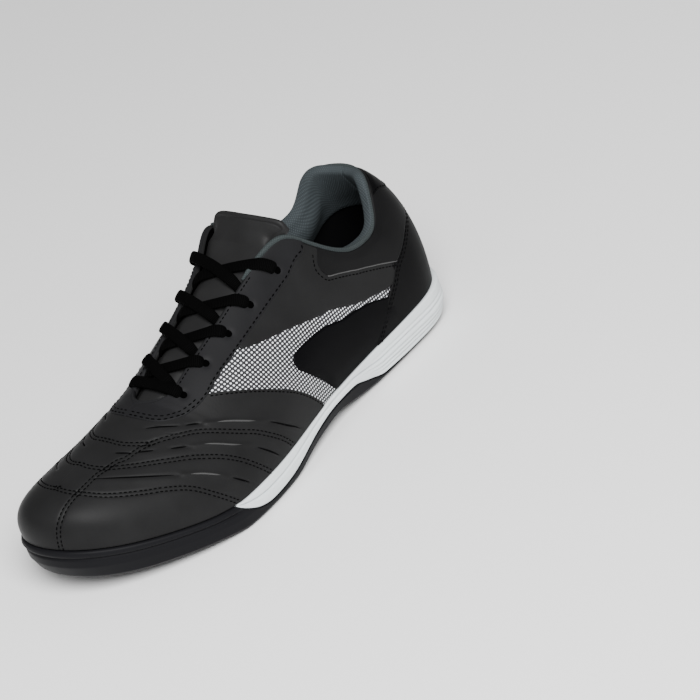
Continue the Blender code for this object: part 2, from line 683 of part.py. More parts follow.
def lace_cover(at, across):
    """The surface that the lace lies on: eyestay from 2 to 1, throat edge at 1, middle of the tongue at 0."""
    at = np.asarray(at, float)
    points = []
    for place, turn in ((at, 1), (LOOP_ROWS - at, -1)):
        for level in LACE_COVER_LEVELS[::turn]:
            points.append(skin(place, level) + skin_normal(place, level) * LACE_LIFT)
    tongue = np.array([tongue_section(place)[2] for place in at])
    side = len(LACE_COVER_LEVELS)
    points.insert(side, tongue + INSTEP_UP * LACE_LIFT)
    knots = np.arange(side, -side - 1, -1.0)[::-1]
    stack = np.array(points)[::-1]
    columns = ("across", "x", "y", "z")
    result = [read(np.column_stack([knots, stack[:, k]]), columns, across[k]) for k in range(len(at))]
    return np.array([[point["x"][0], point["y"][0], point["z"][0]] for point in result])


def strand(name, start, end, hump):
    """A flat strand between two places on the cover, each a place along the loop and a place across."""
    t = np.linspace(0, 1, LACE_STEPS)
    step = 0.05
    at = start[0] + (end[0] - start[0]) * t
    across = start[1] + (end[1] - start[1]) * t
    path = lace_cover(at, across)
    rise = np.cross(lace_cover(at, across + step) - lace_cover(at, across - step),
                    lace_cover(at + step, across) - lace_cover(at - step, across))
    rise /= np.linalg.norm(rise, axis=1, keepdims=True)
    path += rise * (hump * np.sin(np.pi * t) ** 2)[:, None]
    along = np.gradient(path, axis=0)
    sideways = np.cross(along, rise)
    sideways /= np.linalg.norm(sideways, axis=1, keepdims=True)
    half_width, half_depth = LACE_WIDTH / 2, LACE_THICKNESS / 2
    corners = ((-1, -1), (1, -1), (1, 1), (-1, 1))
    rings = np.stack([path + sideways * half_width * a + rise * half_depth * u for a, u in corners], 1)
    faces = [(4 * i + j, 4 * i + (j + 1) % 4, 4 * i + 4 + (j + 1) % 4, 4 * i + 4 + j)
             for i in range(LACE_STEPS - 1) for j in range(4)]
    faces += [(0, 1, 2, 3), tuple(4 * (LACE_STEPS - 1) + j for j in range(4))]
    thing = new_object(name, rings.reshape(-1, 3), faces, "black_lace")
    face_outwards(thing)
    smooth(thing)
    return thing


def make_lace():
    """A straight bar at the toe end, then a crossing between each pair of eyelet rows."""
    rows = [row[0] for row in EYELETS]
    strand("lace_bar", (rows[0], LACE_EYELET), (rows[0], -LACE_EYELET), 0)
    for k, (lower, upper) in enumerate(zip(rows, rows[1:]), start=1):
        end = lower + LACE_END_SHIFT
        crossing = strand(f"lace_cross_{k}", (upper, LACE_EYELET), (end, -LACE_EDGE), 0)
        over = strand(f"lace_over_{k}", (upper, -LACE_EYELET), (end, LACE_EDGE), LACE_CROSSING_HUMP)
        cut_away(crossing, over, "UNION")


def make_materials():
    for name, (colour, roughness, metallic) in MATERIALS.items():
        material = bpy.data.materials.get(name) or bpy.data.materials.new(name)
        material.use_nodes = True
        shader = material.node_tree.nodes["Principled BSDF"]
        shader.inputs["Base Color"].default_value = (*colour, 1.0)
        shader.inputs["Roughness"].default_value = roughness
        shader.inputs["Metallic"].default_value = metallic


def plan_centre():
    """The middle of the sole in plan, which becomes the part's origin."""
    at = loop_stations()
    plan = around(slice(0, 2), at)
    bulge = np.max([wall_offset(plan[:, 0], share) for share in np.linspace(0, 1, 21)], axis=0)
    widest = plan + outward(at) * bulge[:, None]
    middle = (widest.min(axis=0) + widest.max(axis=0)) / 2
    return np.array([middle[0], middle[1], 0.0])


CENTRE = plan_centre()


def main():
    for thing in list(bpy.data.objects):
        bpy.data.objects.remove(thing)
    make_materials()
    punches = eyelet_cutters()
    make_outsole()
    make_midsole()
    make_insole()
    make_upper(punches)
    make_panels(punches)
    make_collar_pad()
    make_tongue()
    make_lace()


main()
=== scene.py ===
import math

import bmesh
import bpy
import numpy as np
from mathutils import Matrix, Vector, kdtree


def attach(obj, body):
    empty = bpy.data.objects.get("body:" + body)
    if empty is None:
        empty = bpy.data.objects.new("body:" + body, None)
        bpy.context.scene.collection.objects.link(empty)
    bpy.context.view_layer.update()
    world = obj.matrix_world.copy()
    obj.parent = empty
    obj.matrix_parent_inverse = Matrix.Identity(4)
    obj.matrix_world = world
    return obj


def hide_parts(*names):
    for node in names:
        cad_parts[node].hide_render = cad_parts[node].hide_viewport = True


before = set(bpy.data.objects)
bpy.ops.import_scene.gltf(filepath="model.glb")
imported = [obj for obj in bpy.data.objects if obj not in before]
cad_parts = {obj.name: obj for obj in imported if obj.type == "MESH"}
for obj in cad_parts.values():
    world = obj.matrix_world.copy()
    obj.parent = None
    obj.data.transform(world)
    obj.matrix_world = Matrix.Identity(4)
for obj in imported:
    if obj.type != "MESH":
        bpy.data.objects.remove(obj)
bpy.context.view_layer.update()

# Lengths are in millimetres until a mesh is made; x runs from heel to toe, y to the outer side, z up
MM = 0.001
GAP = 0.3
UPPER_WALL = 2.0
WELD_DISTANCE = 0.02

# Ribs of the last, the same as the solids: from the toe along the ridge, throat and collar to the heel
RIB_COLUMNS = ("name", "foot_x_out", "foot_out", "foot_x_in", "foot_in", "top_x", "top_out", "top_in",
               "top_z", "lean", "foot_pull", "rise", "heading", "top_pull")
RIBS = (
    ("toe_tip", 291, -11, 291, -11, 266, -7, -7, 58, 10, 22, 13, 180, 18),
    ("toe_corner", 286, 8, 286, -28, 259, -6.5, -6.5, 59, 10, 22, 10, 150, 19),
    ("toe_side", 272, 24, 273, -39, 250, -6, -6, 59.5, 9, 20, 6, 122, 21),
    ("toe_back", 252, 36.5, 254, -44.5, 238, -5, -5, 60.5, 8, 19, 3, 104, 22),
    ("ball_front", 228, 46.5, 231, -46.5, 224, -4, -4, 62.8, 7, 19, 0, 95, 24),
    ("throat_tip", 203, 51, 208, -45, 208, -4, -4, 66.2, 6, 21, 0, 90, 26),
    ("throat_round", 182, 50.5, 186, -41.5, 201.6, 8.5, -13, 66.2, 5, 18.8, 17, 79, 23.5),
    ("instep_low", 160, 47.5, 163, -36, 180, 11, -13, 75, 4, 25, 24, 86, 25),
    ("instep", 138, 43, 140, -31.5, 153, 13, -15, 85.5, 3, 27, 36, 90, 25),
    ("instep_high", 116, 39, 118, -29.5, 124, 15, -20, 97.5, 3, 30, 50, 90, 25),
    ("collar_front", 96, 37, 98, -29.5, 100, 20, -31.5, 106, 3, 30, 66, 90, 22),
    ("ankle_front", 78, 36, 80, -30.5, 86, 27, -30, 93.5, 3, 24, 74, 88, 18),
    ("ankle", 58, 35.5, 58, -32.5, 63, 30, -32, 75.5, 3, 18, 72, 80, 14),
    ("ankle_back", 38, 34.5, 38, -32.5, 41, 27.5, -30.5, 74.5, 4, 18, 64, 66, 16),
    ("heel_side", 20, 32.5, 20, -29.5, 29, 19.5, -24.5, 91, 5, 24, 52, 46, 22),
    ("heel_corner", 6, 23.5, 6, -20.5, 23, 12, -15, 97, 4, 28, 44, 24, 26),
    ("heel_back", 0, 0, 0, 0, 19.5, 0, 0, 98, 3, 28, 42, 0, 29),
)
HEEL_ROW = len(RIBS) - 1
LOOP_ROWS = 2 * HEEL_ROW
LOOP_SOFTENING = 0.4
THROAT_ROW, RIDGE_LEVEL = 5, 0.9

# Side view of the sole: its top, the floor of the white wedge and the tread
SOLE_COLUMNS = ("x", "top", "wedge_floor", "bottom")
SOLE = (
    (0, 25, 6, 4),
    (10, 24, 4.2, 1),
    (24, 22.8, 3.2, 0),
    (70, 20.8, 4, 0),
    (84, 20.1, 8.5, 1),
    (97, 19.6, 12.8, 3),
    (115, 18.9, 13.2, 6),
    (140, 17.9, 11, 4),
    (165, 17.2, 6, 0),
    (185, 16.8, 5, 0),
    (205, 16.4, 6.5, 0),
    (222, 17.8, 8, 2.4),
    (240, 21, 9, 4.4),
    (265, 26.2, 9, 7),
    (282, 30.5, 9, 10),
    (295, 34, 9, 13.5),
)
WEDGE_NOSE_START, WEDGE_NOSE_END = 186, 212
WEDGE_NOSE_BLUNT = 0.95

# How far the wall of the sole stands out from the foot of the upper, by share of the wall's height
WALL_SHARES = (0, 0.15, 0.5, 1)
WALL_COLUMNS = ("x", "edge", "low", "middle", "lip")
SOLE_WALL = (
    (0, 0, 3.5, 6, 5),
    (25, -3, 0.5, 3, 2.5),
    (60, -2.5, 0.5, 1.5, 1),
    (130, -1.5, 0.5, 1.5, 1),
    (210, 0, 2, 2.5, 1.5),
    (270, -4, -1, 1, 2),
    (295, -5, -2, 1.5, 2),
)


def limited_slopes(steps, values):
    """Slopes at the inner knots that keep a curve from overshooting, and those of the straight runs."""
    secant = np.diff(values, axis=0) / steps[:, None]
    before, after = secant[:-1], secant[1:]
    mean = (before + after) / 2
    limit = 3 * np.minimum(abs(before), abs(after))
    inner = np.where(before * after > 0, np.sign(mean) * np.minimum(abs(mean), limit), 0.0)
    return inner, secant


def hermite(knots, values, slope, at):
    """A smooth curve through the values at the knots, read at the places given."""
    k = np.clip(np.searchsorted(knots, at, side="right") - 1, 0, len(knots) - 2)
    step = (knots[k + 1] - knots[k])[:, None]
    t = ((at - knots[k]) / step[:, 0])[:, None]
    start = (1 + 2 * t) * (1 - t) ** 2 * values[k] + t * (1 - t) ** 2 * step * slope[k]
    return start + t * t * (3 - 2 * t) * values[k + 1] + t * t * (t - 1) * step * slope[k + 1]


def read(table, columns, at):
    """The named columns of a table, read at places along its first column."""
    rows = np.array(table, float)
    knots, values = rows[:, 0], rows[:, 1:]
    at = np.clip(np.atleast_1d(np.asarray(at, float)), knots[0], knots[-1])
    inner, secant = limited_slopes(np.diff(knots), values)
    result = hermite(knots, values, np.vstack([secant[:1], inner, secant[-1:]]), at)
    return dict(zip(columns[1:], result.T))


def smooth_curve(points, at, knots=None):
    """Points on a smooth curve through the points given, which are counted from 0 or lie at the knots."""
    knots = np.arange(len(points)) if knots is None else knots
    curve = read(np.column_stack([knots, points]), ("knot", "x", "y", "z"), at)
    return np.stack([curve["x"], curve["y"], curve["z"]], 1)


def hill(across, width):
    """A smooth hump of height 1 across a line."""
    return np.exp(-(across / width) ** 2)


def ramp(value, start, end):
    """A smooth step from 0 at the start to 1 at the end."""
    share = np.clip((value - start) / (end - start), 0, 1)
    return share * share * (3 - 2 * share)


def within(value, ranges, soft=0.08):
    """1 inside any of the ranges, 0 outside, with soft ends."""
    inside = [ramp(value, start - soft, start + soft) * (1 - ramp(value, end - soft, end + soft))
              for start, end in ranges]
    return np.max(inside, axis=0)


def rounded(distance, radius):
    """Height of a rounded edge, from 0 at the border to 1."""
    share = 1 - np.clip(distance / radius, 0, 1)
    return np.sqrt(1 - share ** 2)


def rib_loop():
    """The ribs as one closed loop: outer side from toe to heel, then inner side back to the toe."""
    table = [dict(zip(RIB_COLUMNS, row)) for row in RIBS]
    shared = ("top_z", "lean", "foot_pull", "rise", "heading", "top_pull")
    outer_names = ("foot_x_out", "foot_out", "top_x", "top_out") + shared
    inner_names = ("foot_x_in", "foot_in", "top_x", "top_in") + shared
    outer = [[row[name] for name in outer_names] for row in table]
    inner = [[row[name] for name in inner_names] for row in table]
    return np.array(outer + inner[-2:0:-1], float)


LOOP = rib_loop()


def around(columns, at):
    """Columns of the closed loop of ribs, read at places counted in rows and evened out between rows."""
    rows = LOOP[:, columns]
    padded = np.vstack([rows[-2:], rows, rows[:3]])
    inner, _ = limited_slopes(np.ones(len(padded) - 1), padded)
    slope = np.vstack([inner[:1], inner, inner[-1:]])
    knots = np.arange(-2.0, LOOP_ROWS + 3)
    before, here, after = (hermite(knots, padded, slope, (np.asarray(at, float) + move) % LOOP_ROWS)
                           for move in (-LOOP_SOFTENING, 0, LOOP_SOFTENING))
    return before / 4 + here / 2 + after / 4


def plan_x(at):
    """How far along the shoe the foot's outline lies, at places of the loop."""
    return around(slice(0, 1), at)[:, 0]


def outward(at):
    """Unit vectors in plan that point out of the foot's outline."""
    step = 0.02
    along = around(slice(0, 2), np.asarray(at) + step) - around(slice(0, 2), np.asarray(at) - step)
    along /= np.linalg.norm(along, axis=1, keepdims=True)
    return np.stack([along[:, 1], -along[:, 0]], 1)


def sole_height(x, column):
    """A height from the side view of the sole, at distances along the shoe."""
    return read(SOLE, SOLE_COLUMNS, x)[column]


def skin(at, level):
    """Points on the outside of the upper: place along the loop, and share of the rib from foot to top."""
    at, level = np.broadcast_arrays(np.asarray(at, float), np.asarray(level, float))
    shape = at.shape
    at = at.ravel()
    t = level.reshape(-1, 1)
    ribs = around(slice(None), at).T
    foot_x, foot_y, top_x, top_y, top_z, lean, foot_pull, rise, heading, top_pull = ribs
    lean, rise, heading = np.radians(lean), np.radians(rise), np.radians(heading)
    side = np.where(at % LOOP_ROWS <= HEEL_ROW, 1.0, -1.0)
    foot = np.stack([foot_x, foot_y, sole_height(foot_x, "top") + GAP], 1)
    top = np.stack([top_x, top_y, top_z], 1)
    leave = np.column_stack([outward(at) * np.sin(lean)[:, None], np.cos(lean)])
    level_run = np.cos(rise)
    arrive = np.stack([np.cos(heading) * level_run, -side * np.sin(heading) * level_run, np.sin(rise)], 1)
    low = foot + foot_pull[:, None] * leave
    high = top - top_pull[:, None] * arrive
    point = (1 - t) ** 3 * foot + 3 * t * (1 - t) ** 2 * low + 3 * t * t * (1 - t) * high + t ** 3 * top
    return point.reshape(shape + (3,))


def unit(vectors):
    return vectors / np.linalg.norm(vectors, axis=-1, keepdims=True)


def skin_normal(at, level):
    """Unit vectors that point out of the upper."""
    step_at, step_level = 0.02, 0.01
    at = np.asarray(at, float)
    below = np.clip(np.asarray(level, float) - step_level, 0, 1)
    above = np.clip(np.asarray(level, float) + step_level, 0, 1)
    along = skin(at + step_at, level) - skin(at - step_at, level)
    up = skin(at, above) - skin(at, below)
    return unit(np.cross(along, up))


def folded(at):
    """Place along the outer side that mirrors each place of the loop."""
    at = np.asarray(at, float) % LOOP_ROWS
    return np.minimum(at, LOOP_ROWS - at)


def ridge_normal(at, level):
    """Normals of the skin, evened out over the ridge, where the outer and inner sides meet."""
    near_top = np.clip((np.asarray(level) - RIDGE_LEVEL) / (1 - RIDGE_LEVEL), 0, 1) ** 2
    share = np.where(folded(at) <= THROAT_ROW, near_top, 0)[..., None]
    return unit(skin_normal(at, level) + share * skin_normal(-np.asarray(at, float), level))


def wall_offset(x, share):
    """How far the wall of the sole stands out at each place, at a share of its height."""
    rings = read(SOLE_WALL, WALL_COLUMNS, x)
    stack = np.stack([rings[name] for name in WALL_COLUMNS[1:]])
    shares = np.broadcast_to(share, np.shape(x))
    return np.array([np.interp(shares[k], WALL_SHARES, stack[:, k]) for k in range(len(x))])


def plan_centre():
    """The middle of the sole in plan, which is the part's origin."""
    at = np.concatenate([np.linspace(0, 13, 26, endpoint=False), np.linspace(13, 19, 18, endpoint=False),
                         np.linspace(19, LOOP_ROWS, 26, endpoint=False)])
    plan = around(slice(0, 2), at)
    bulge = np.max([wall_offset(plan[:, 0], share) for share in np.linspace(0, 1, 21)], axis=0)
    widest = plan + outward(at) * bulge[:, None]
    middle = (widest.min(axis=0) + widest.max(axis=0)) / 2
    return np.array([middle[0], middle[1], 0.0])


CENTRE = plan_centre()


# Meshes


def grid_quads(columns, rows, closed=False):
    """Four-sided faces over points numbered column by column."""
    i = np.arange(columns if closed else columns - 1)
    j = np.arange(rows - 1)
    here = (i * rows)[:, None] + j
    there = ((i + 1) % columns * rows)[:, None] + j
    return np.stack([here, there, there + 1, here + 1], -1).reshape(-1, 4)


def new_piece(name, points, faces, materials, slot, uv=None, pick=None, weld=False):
    """A smooth piece on the body, from points in millimetres; pick gives the material number of each face."""
    mesh = bpy.data.meshes.new(name)
    placed = (np.asarray(points, float) - CENTRE) * MM
    mesh.from_pydata(placed.tolist(), [], [list(face) for face in faces])
    for material in materials:
        mesh.materials.append(material)
    if pick is not None:
        mesh.polygons.foreach_set("material_index", np.asarray(pick, np.int32))
    if uv is not None:
        corner = np.zeros(len(mesh.loops), np.int32)
        mesh.loops.foreach_get("vertex_index", corner)
        layer = mesh.uv_layers.new(name="millimetres")
        layer.data.foreach_set("uv", np.asarray(uv, np.float32)[corner].ravel())
    shape = bmesh.new()
    shape.from_mesh(mesh)
    if weld:
        bmesh.ops.remove_doubles(shape, verts=shape.verts, dist=WELD_DISTANCE * MM)
    bmesh.ops.recalc_face_normals(shape, faces=shape.faces)
    shape.to_mesh(mesh)
    shape.free()
    mesh.shade_smooth()
    piece = bpy.data.objects.new(name, mesh)
    bpy.context.scene.collection.objects.link(piece)
    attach(piece, "root")
    return piece


def run_lengths(points, axis=0):
    """Lengths along lines of points, counted from the start of each line."""
    steps = np.linalg.norm(np.diff(points, axis=axis), axis=-1)
    ends = [(0, 0)] * steps.ndim
    ends[axis] = (1, 0)
    return np.pad(np.cumsum(steps, axis=axis), ends)


def border_distance(grid, free_top):
    """Distance of each point of a grid from the border, along the grid's lines; some tops don't count."""
    far = 1000
    from_low, from_start = run_lengths(grid, axis=1), run_lengths(grid)
    from_high = from_low[:, -1:] - from_low + np.where(free_top, 0, far)[:, None]
    from_end = from_start[-1:] - from_start
    return np.minimum.reduce([from_low, from_high, from_start, from_end])


def shell(top, bottom, coarse, shared=None):
    """Points and faces of a closed shell: a fine grid above, a thinned one below, and a rim between them.

    Columns that are marked as shared meet another column at the last row, so they get no rim there."""
    bottom = bottom[::coarse, ::coarse]
    (columns, rows), (low_columns, low_rows) = top.shape[:2], bottom.shape[:2]
    count, last_row = columns * rows, 2
    fine = np.arange(count).reshape(columns, rows)
    low = count + np.arange(low_columns * low_rows).reshape(low_columns, low_rows)
    faces = grid_quads(columns, rows).tolist()
    faces += (count + grid_quads(low_columns, low_rows)[:, ::-1]).tolist()
    borders = ((fine[:, 0], low[:, 0]), (fine[-1], low[-1]), (fine[::-1, -1], low[::-1, -1]),
               (fine[0, ::-1], low[0, ::-1]))
    for border, (above, below) in enumerate(borders):
        for k in range(len(below) - 1):
            run = above[k * coarse:(k + 1) * coarse + 1]
            if border == last_row and shared is not None and all(shared[run // rows]):
                continue
            faces.append([below[k], below[k + 1], *run[::-1]])
    return np.concatenate([top.reshape(-1, 3), bottom.reshape(-1, 3)]), faces


def joined(parts):
    """Points and faces of several meshes as one."""
    points, faces, base = [], [], 0
    for part_points, part_faces in parts:
        points.append(part_points)
        faces += [[base + k for k in face] for face in part_faces]
        base += len(part_points)
    return np.concatenate(points), faces


def round_rings(centres, across, up, radius, corners):
    """Rings of points round a line of centres, each ring with its own two directions and radius."""
    turn = np.linspace(0, 2 * np.pi, corners, endpoint=False)[None, :, None]
    ring = across[:, None] * np.cos(turn) + up[:, None] * np.sin(turn)
    return centres[:, None] + ring * np.broadcast_to(radius, len(centres))[:, None, None]


def tube(rings):
    """Points and faces of a closed tube through rings of points, with flat ends."""
    count, corners = rings.shape[:2]
    faces = []
    for here in range(0, (count - 1) * corners, corners):
        there = here + corners
        for j in range(corners):
            after = (j + 1) % corners
            faces.append((here + j, there + j, there + after, here + after))
    faces += [tuple(range(corners)), tuple((count - 1) * corners + j for j in range(corners))]
    return rings.reshape(-1, 3), faces


def ring_lengths(rings):
    """Lengths in millimetres along a tube and round it."""
    along, round_it = run_lengths(rings.mean(axis=1)), run_lengths(rings, axis=1)
    return np.stack([np.broadcast_to(along[:, None], round_it.shape), round_it], -1).reshape(-1, 2)


# Materials

# Sockets of the colour mix, and the scale at which a wave repeats about once in each unit of its place
MIX_FIRST, MIX_SECOND, MIX_RESULT = 6, 7, 2
WAVE_SCALE = 0.32


def node(material, kind, inputs, **settings):
    """A shader node; an input that is given as a socket is linked, and any other is set."""
    made = material.node_tree.nodes.new(kind)
    for name, value in settings.items():
        setattr(made, name, value)
    for key, value in inputs.items():
        if isinstance(value, bpy.types.NodeSocket):
            material.node_tree.links.new(value, made.inputs[key])
        else:
            made.inputs[key].default_value = value
    return made


def new_material(name, colour, roughness, values=None):
    """A material and its shader, with the values that are the same all over."""
    material = bpy.data.materials.new(name)
    material.use_nodes = True
    shader = material.node_tree.nodes["Principled BSDF"]
    shader.inputs["Base Color"].default_value = (*colour, 1)
    shader.inputs["Roughness"].default_value = roughness
    for key, value in (values or {}).items():
        shader.inputs[key].default_value = value
    return material, shader


def plug(material, shader, key, socket):
    """Links a socket to one of the shader's inputs."""
    material.node_tree.links.new(socket, shader.inputs[key])


def bump(material, shader, height, strength, depth):
    """Raises the surface by a height socket, over a depth in millimetres."""
    made = node(material, "ShaderNodeBump", {"Height": height, "Strength": strength, "Distance": depth * MM})
    plug(material, shader, "Normal", made.outputs["Normal"])


def tint(material, shader, factor, first, second):
    """Colours the surface between two colours, by a factor socket."""
    inputs = {"Factor": factor, MIX_FIRST: (*first, 1), MIX_SECOND: (*second, 1)}
    mixed = node(material, "ShaderNodeMix", inputs, data_type="RGBA")
    plug(material, shader, "Base Color", mixed.outputs[MIX_RESULT])


def vary_gloss(material, shader, value, roughness, either_way):
    """Makes the gloss uneven, by a value socket from 0 to 1."""
    inputs = {"Value": value, "To Min": roughness - either_way, "To Max": roughness + either_way}
    uneven = node(material, "ShaderNodeMapRange", inputs)
    plug(material, shader, "Roughness", uneven.outputs["Result"])


def vector_math(material, operation, first, second=(0, 0, 0)):
    return node(material, "ShaderNodeVectorMath", {0: first, 1: second}, operation=operation).outputs


def object_place(material):
    return node(material, "ShaderNodeTexCoord", {}).outputs["Object"]


def noise(material, scale, detail):
    """A cloudy value from 0 to 1, fixed to the object."""
    inputs = {"Vector": object_place(material), "Scale": scale, "Detail": detail}
    return node(material, "ShaderNodeTexNoise", inputs).outputs["Fac"]


def pattern_place(material, scale, angle=0):
    """Places on the surface, scaled from millimetres and turned by an angle in degrees."""
    uv = node(material, "ShaderNodeUVMap", {}, uv_map="millimetres").outputs["UV"]
    inputs = {"Vector": uv, "Rotation": (0, 0, math.radians(angle)), "Scale": scale}
    return node(material, "ShaderNodeMapping", inputs).outputs["Vector"]


def shade(colour, factor):
    return tuple(min(1, channel * factor) for channel in colour)


def leather(name, colour, roughness, specular=0.1, grain=0.2):
    """Synthetic leather: pebbled grain below a millimetre, uneven gloss and a faintly cloudy colour."""
    pebble_scale, pebble_depth, cloud_scale, gloss_spread = 1150, 0.12, 55, 0.07
    material, shader = new_material(name, colour, roughness, {"Specular IOR Level": specular})
    inputs = {"Vector": object_place(material), "Scale": pebble_scale}
    pebbles = node(material, "ShaderNodeTexVoronoi", inputs, feature="SMOOTH_F1")
    cloud = noise(material, cloud_scale, 4)
    tint(material, shader, cloud, shade(colour, 0.75), shade(colour, 1.3))
    vary_gloss(material, shader, cloud, roughness, gloss_spread)
    bump(material, shader, pebbles.outputs["Distance"], grain, pebble_depth)
    return material


def dotted_mesh(name, dark, pale, pitch, dot):
    """Woven mesh: pale knots in a square lattice along the shoe, over dark threads."""
    turn, soft, strength, depth = 4, 0.06, 0.6, 0.4
    material, shader = new_material(name, dark, 0.75)
    lattice = pattern_place(material, (1 / pitch, 1 / pitch, 1), turn)
    cell = vector_math(material, "FRACTION", lattice)["Vector"]
    centred = vector_math(material, "SUBTRACT", cell, (0.5, 0.5, 0))["Vector"]
    flat = vector_math(material, "MULTIPLY", centred, (1, 1, 0))["Vector"]
    away = vector_math(material, "LENGTH", flat)["Value"]
    inputs = {"Value": away, "From Min": dot + soft, "From Max": dot - soft}
    knot = node(material, "ShaderNodeMapRange", inputs, interpolation_type="SMOOTHSTEP").outputs["Result"]
    tint(material, shader, knot, dark, pale)
    bump(material, shader, knot, strength, depth)
    return material


def knit(name, colour, pitch, depth):
    """Knitted lining: fine slanted stitches in a mottled colour."""
    slant, strength = 35, 0.7
    material, shader = new_material(name, colour, 0.85, {"Specular IOR Level": 0.08})
    waves = []
    for angle in (slant, -slant):
        place = pattern_place(material, (1 / pitch, 1 / pitch, 1), angle)
        wave = node(material, "ShaderNodeTexWave", {"Vector": place, "Scale": WAVE_SCALE})
        waves.append(wave.outputs["Fac"])
    crossed = node(material, "ShaderNodeMath", {0: waves[0], 1: waves[1]}, operation="MULTIPLY")
    woven = crossed.outputs["Value"]
    tint(material, shader, woven, shade(colour, 0.7), shade(colour, 1.4))
    bump(material, shader, woven, strength, depth)
    return material


def moulded(name, colour, roughness, grain, scale, specular=0.15):
    """Moulded rubber or foam: a fine matt skin with a little unevenness."""
    broad_scale, gloss_spread, grain_depth = 40, 0.08, 0.1
    material, shader = new_material(name, colour, roughness, {"Specular IOR Level": specular})
    broad = noise(material, broad_scale, 3)
    vary_gloss(material, shader, broad, roughness, gloss_spread)
    tint(material, shader, broad, shade(colour, 0.9), shade(colour, 1.1))
    bump(material, shader, noise(material, scale, 3), grain, grain_depth)
    return material


def woven_lace(name, colour, rib):
    """Flat lace: fine ribs across the strand, a little uneven."""
    stretch, uneven, strength, depth = 0.35, 0.8, 0.6, 0.35
    material, shader = new_material(name, colour, 0.8, {"Specular IOR Level": 0.02})
    place = pattern_place(material, (1 / rib, stretch / rib, 1))
    inputs = {"Vector": place, "Scale": WAVE_SCALE, "Distortion": uneven}
    wave = node(material, "ShaderNodeTexWave", inputs).outputs["Fac"]
    tint(material, shader, wave, shade(colour, 0.5), shade(colour, 1.6))
    bump(material, shader, wave, strength, depth)
    return material


BLACK_LEATHER = leather("black_leather", (0.0102, 0.0102, 0.0104), 0.44, 0.05)
EYESTAY_LEATHER = leather("eyestay_leather", (0.0095, 0.0095, 0.0102), 0.5, 0.05)
HEEL_LEATHER = leather("heel_leather", (0.0018, 0.0018, 0.002), 0.5, 0.05)
COLLAR_LEATHER = leather("collar_leather", (0.005, 0.005, 0.0052), 0.48, 0.06)
TONGUE_LEATHER = leather("tongue_leather", (0.013, 0.013, 0.0132), 0.42, 0.06, 0.12)
DARK_PANEL = leather("dark_panel", (0.0012, 0.0012, 0.0015), 0.5, 0.04, 0.1)
# Paler than the black leather: a painted highlight for the pleats' crests, with real gloss as well
CREST_HIGHLIGHT_LEATHER = leather("painted_crest_highlight", (0.03, 0.03, 0.03), 0.35, 0.5, 0.05)
MESH = dotted_mesh("dotted_mesh", (0.004, 0.004, 0.006), (0.85, 0.87, 0.9), 2.0, 0.26)
LINING = knit("grey_knit", (0.041, 0.049, 0.053), 1.3, 0.3)
PIPING = knit("grey_piping", (0.034, 0.041, 0.042), 1.1, 0.25)
# Near black: the footbed's colour darkened to paint the shade deep inside the shoe; also used inside the
# shell
FOOTBED_AND_INSIDE_SHADE = moulded("dark_footbed_and_inside_shade", (0.002, 0.002, 0.0022), 0.9, 0.3, 1500, 0.02)
# Pale grey: a painted highlight for the lit lower edge of the collar panel
EDGE_HIGHLIGHT = moulded("painted_edge_highlight", (0.06, 0.06, 0.06), 0.6, 0.2, 900)
RUBBER = moulded("black_rubber", (0.0058, 0.0058, 0.0068), 0.5, 0.2, 900, 0.06)
FOAM = moulded("white_foam", (0.66, 0.7, 0.71), 0.5, 0.12, 700, 0.3)
LACE = woven_lace("black_lace", (0.0009, 0.0009, 0.0009), 0.9)
# Black thread for the stitches, also used for the dark rods that paint shade in the pleats' creases
THREAD_AND_CREASE_SHADE = moulded("black_thread_and_crease_shade", (0.0008, 0.0008, 0.0009), 0.7, 0.3, 2500, 0.02)
# Near-black ovals that paint the shade inside the eyelet holes
HOLE_SHADE = moulded("painted_hole_shade", (0.0005, 0.0005, 0.0005), 0.9, 0.1, 900, 0.01)


# Upper and its panels

WINDOW_START, WINDOW_END, WINDOW_TOP = 6.2, 12.8, 0.82
SHARED_RIDGE_END = THROAT_ROW - LOOP_SOFTENING


def arc_lengths(grid):
    """Lengths in millimetres along the two directions of a grid, for patterns of true size."""
    along, across = run_lengths(grid[:, grid.shape[1] // 2]), run_lengths(grid, axis=1)
    return np.stack([np.broadcast_to(along[:, None], across.shape), across], -1)


def make_upper():
    """The backing shell: mesh where the side windows are, black elsewhere, and near black inside, which
    paints the shade deep in the shoe.
    """
    columns, rows, inside_material = 384, 49, 2
    at = np.linspace(0, LOOP_ROWS, columns, endpoint=False)
    place, level = np.meshgrid(at, np.linspace(0, 1, rows), indexing="ij")
    normal = ridge_normal(place, level)
    outside = skin(place, level)
    inside = outside - normal * UPPER_WALL
    count = columns * rows
    quads = grid_quads(columns, rows, closed=True)
    middle = folded(at + LOOP_ROWS / columns / 2)
    window = (middle > WINDOW_START) & (middle < WINDOW_END)
    below_collar = np.linspace(0, 1, rows)[1:] < WINDOW_TOP
    pick = [np.outer(window, below_collar).astype(int).ravel(), np.full(len(quads), inside_material)]
    faces = [quads, count + quads[:, ::-1]]
    first = np.arange(columns) * rows
    after = np.roll(first, -1)
    bottom = np.stack([after, first, count + first, count + after], 1)
    top = np.stack([first, after, count + after, count + first], 1) + rows - 1
    open_top = top[middle > SHARED_RIDGE_END]
    faces += [bottom, open_top]
    pick += [np.zeros(len(bottom)), np.zeros(len(open_top))]
    uv = np.concatenate([arc_lengths(outside).reshape(-1, 2)] * 2)
    points = np.concatenate([outside.reshape(-1, 3), inside.reshape(-1, 3)])
    upper = new_piece("upper_shell", points, np.concatenate(faces), [BLACK_LEATHER, MESH, FOOTBED_AND_INSIDE_SHADE], "mesh",
                      uv, np.concatenate(pick), weld=True)
    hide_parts("upper")


# How far each panel stands out from the skin
PANEL_LIFT, TOP_LIFT = 0.9, 1.4
COUNTER_LIFT, COLLAR_LIFT, TAB_LIFT = 1.3, 1.45, 1.9

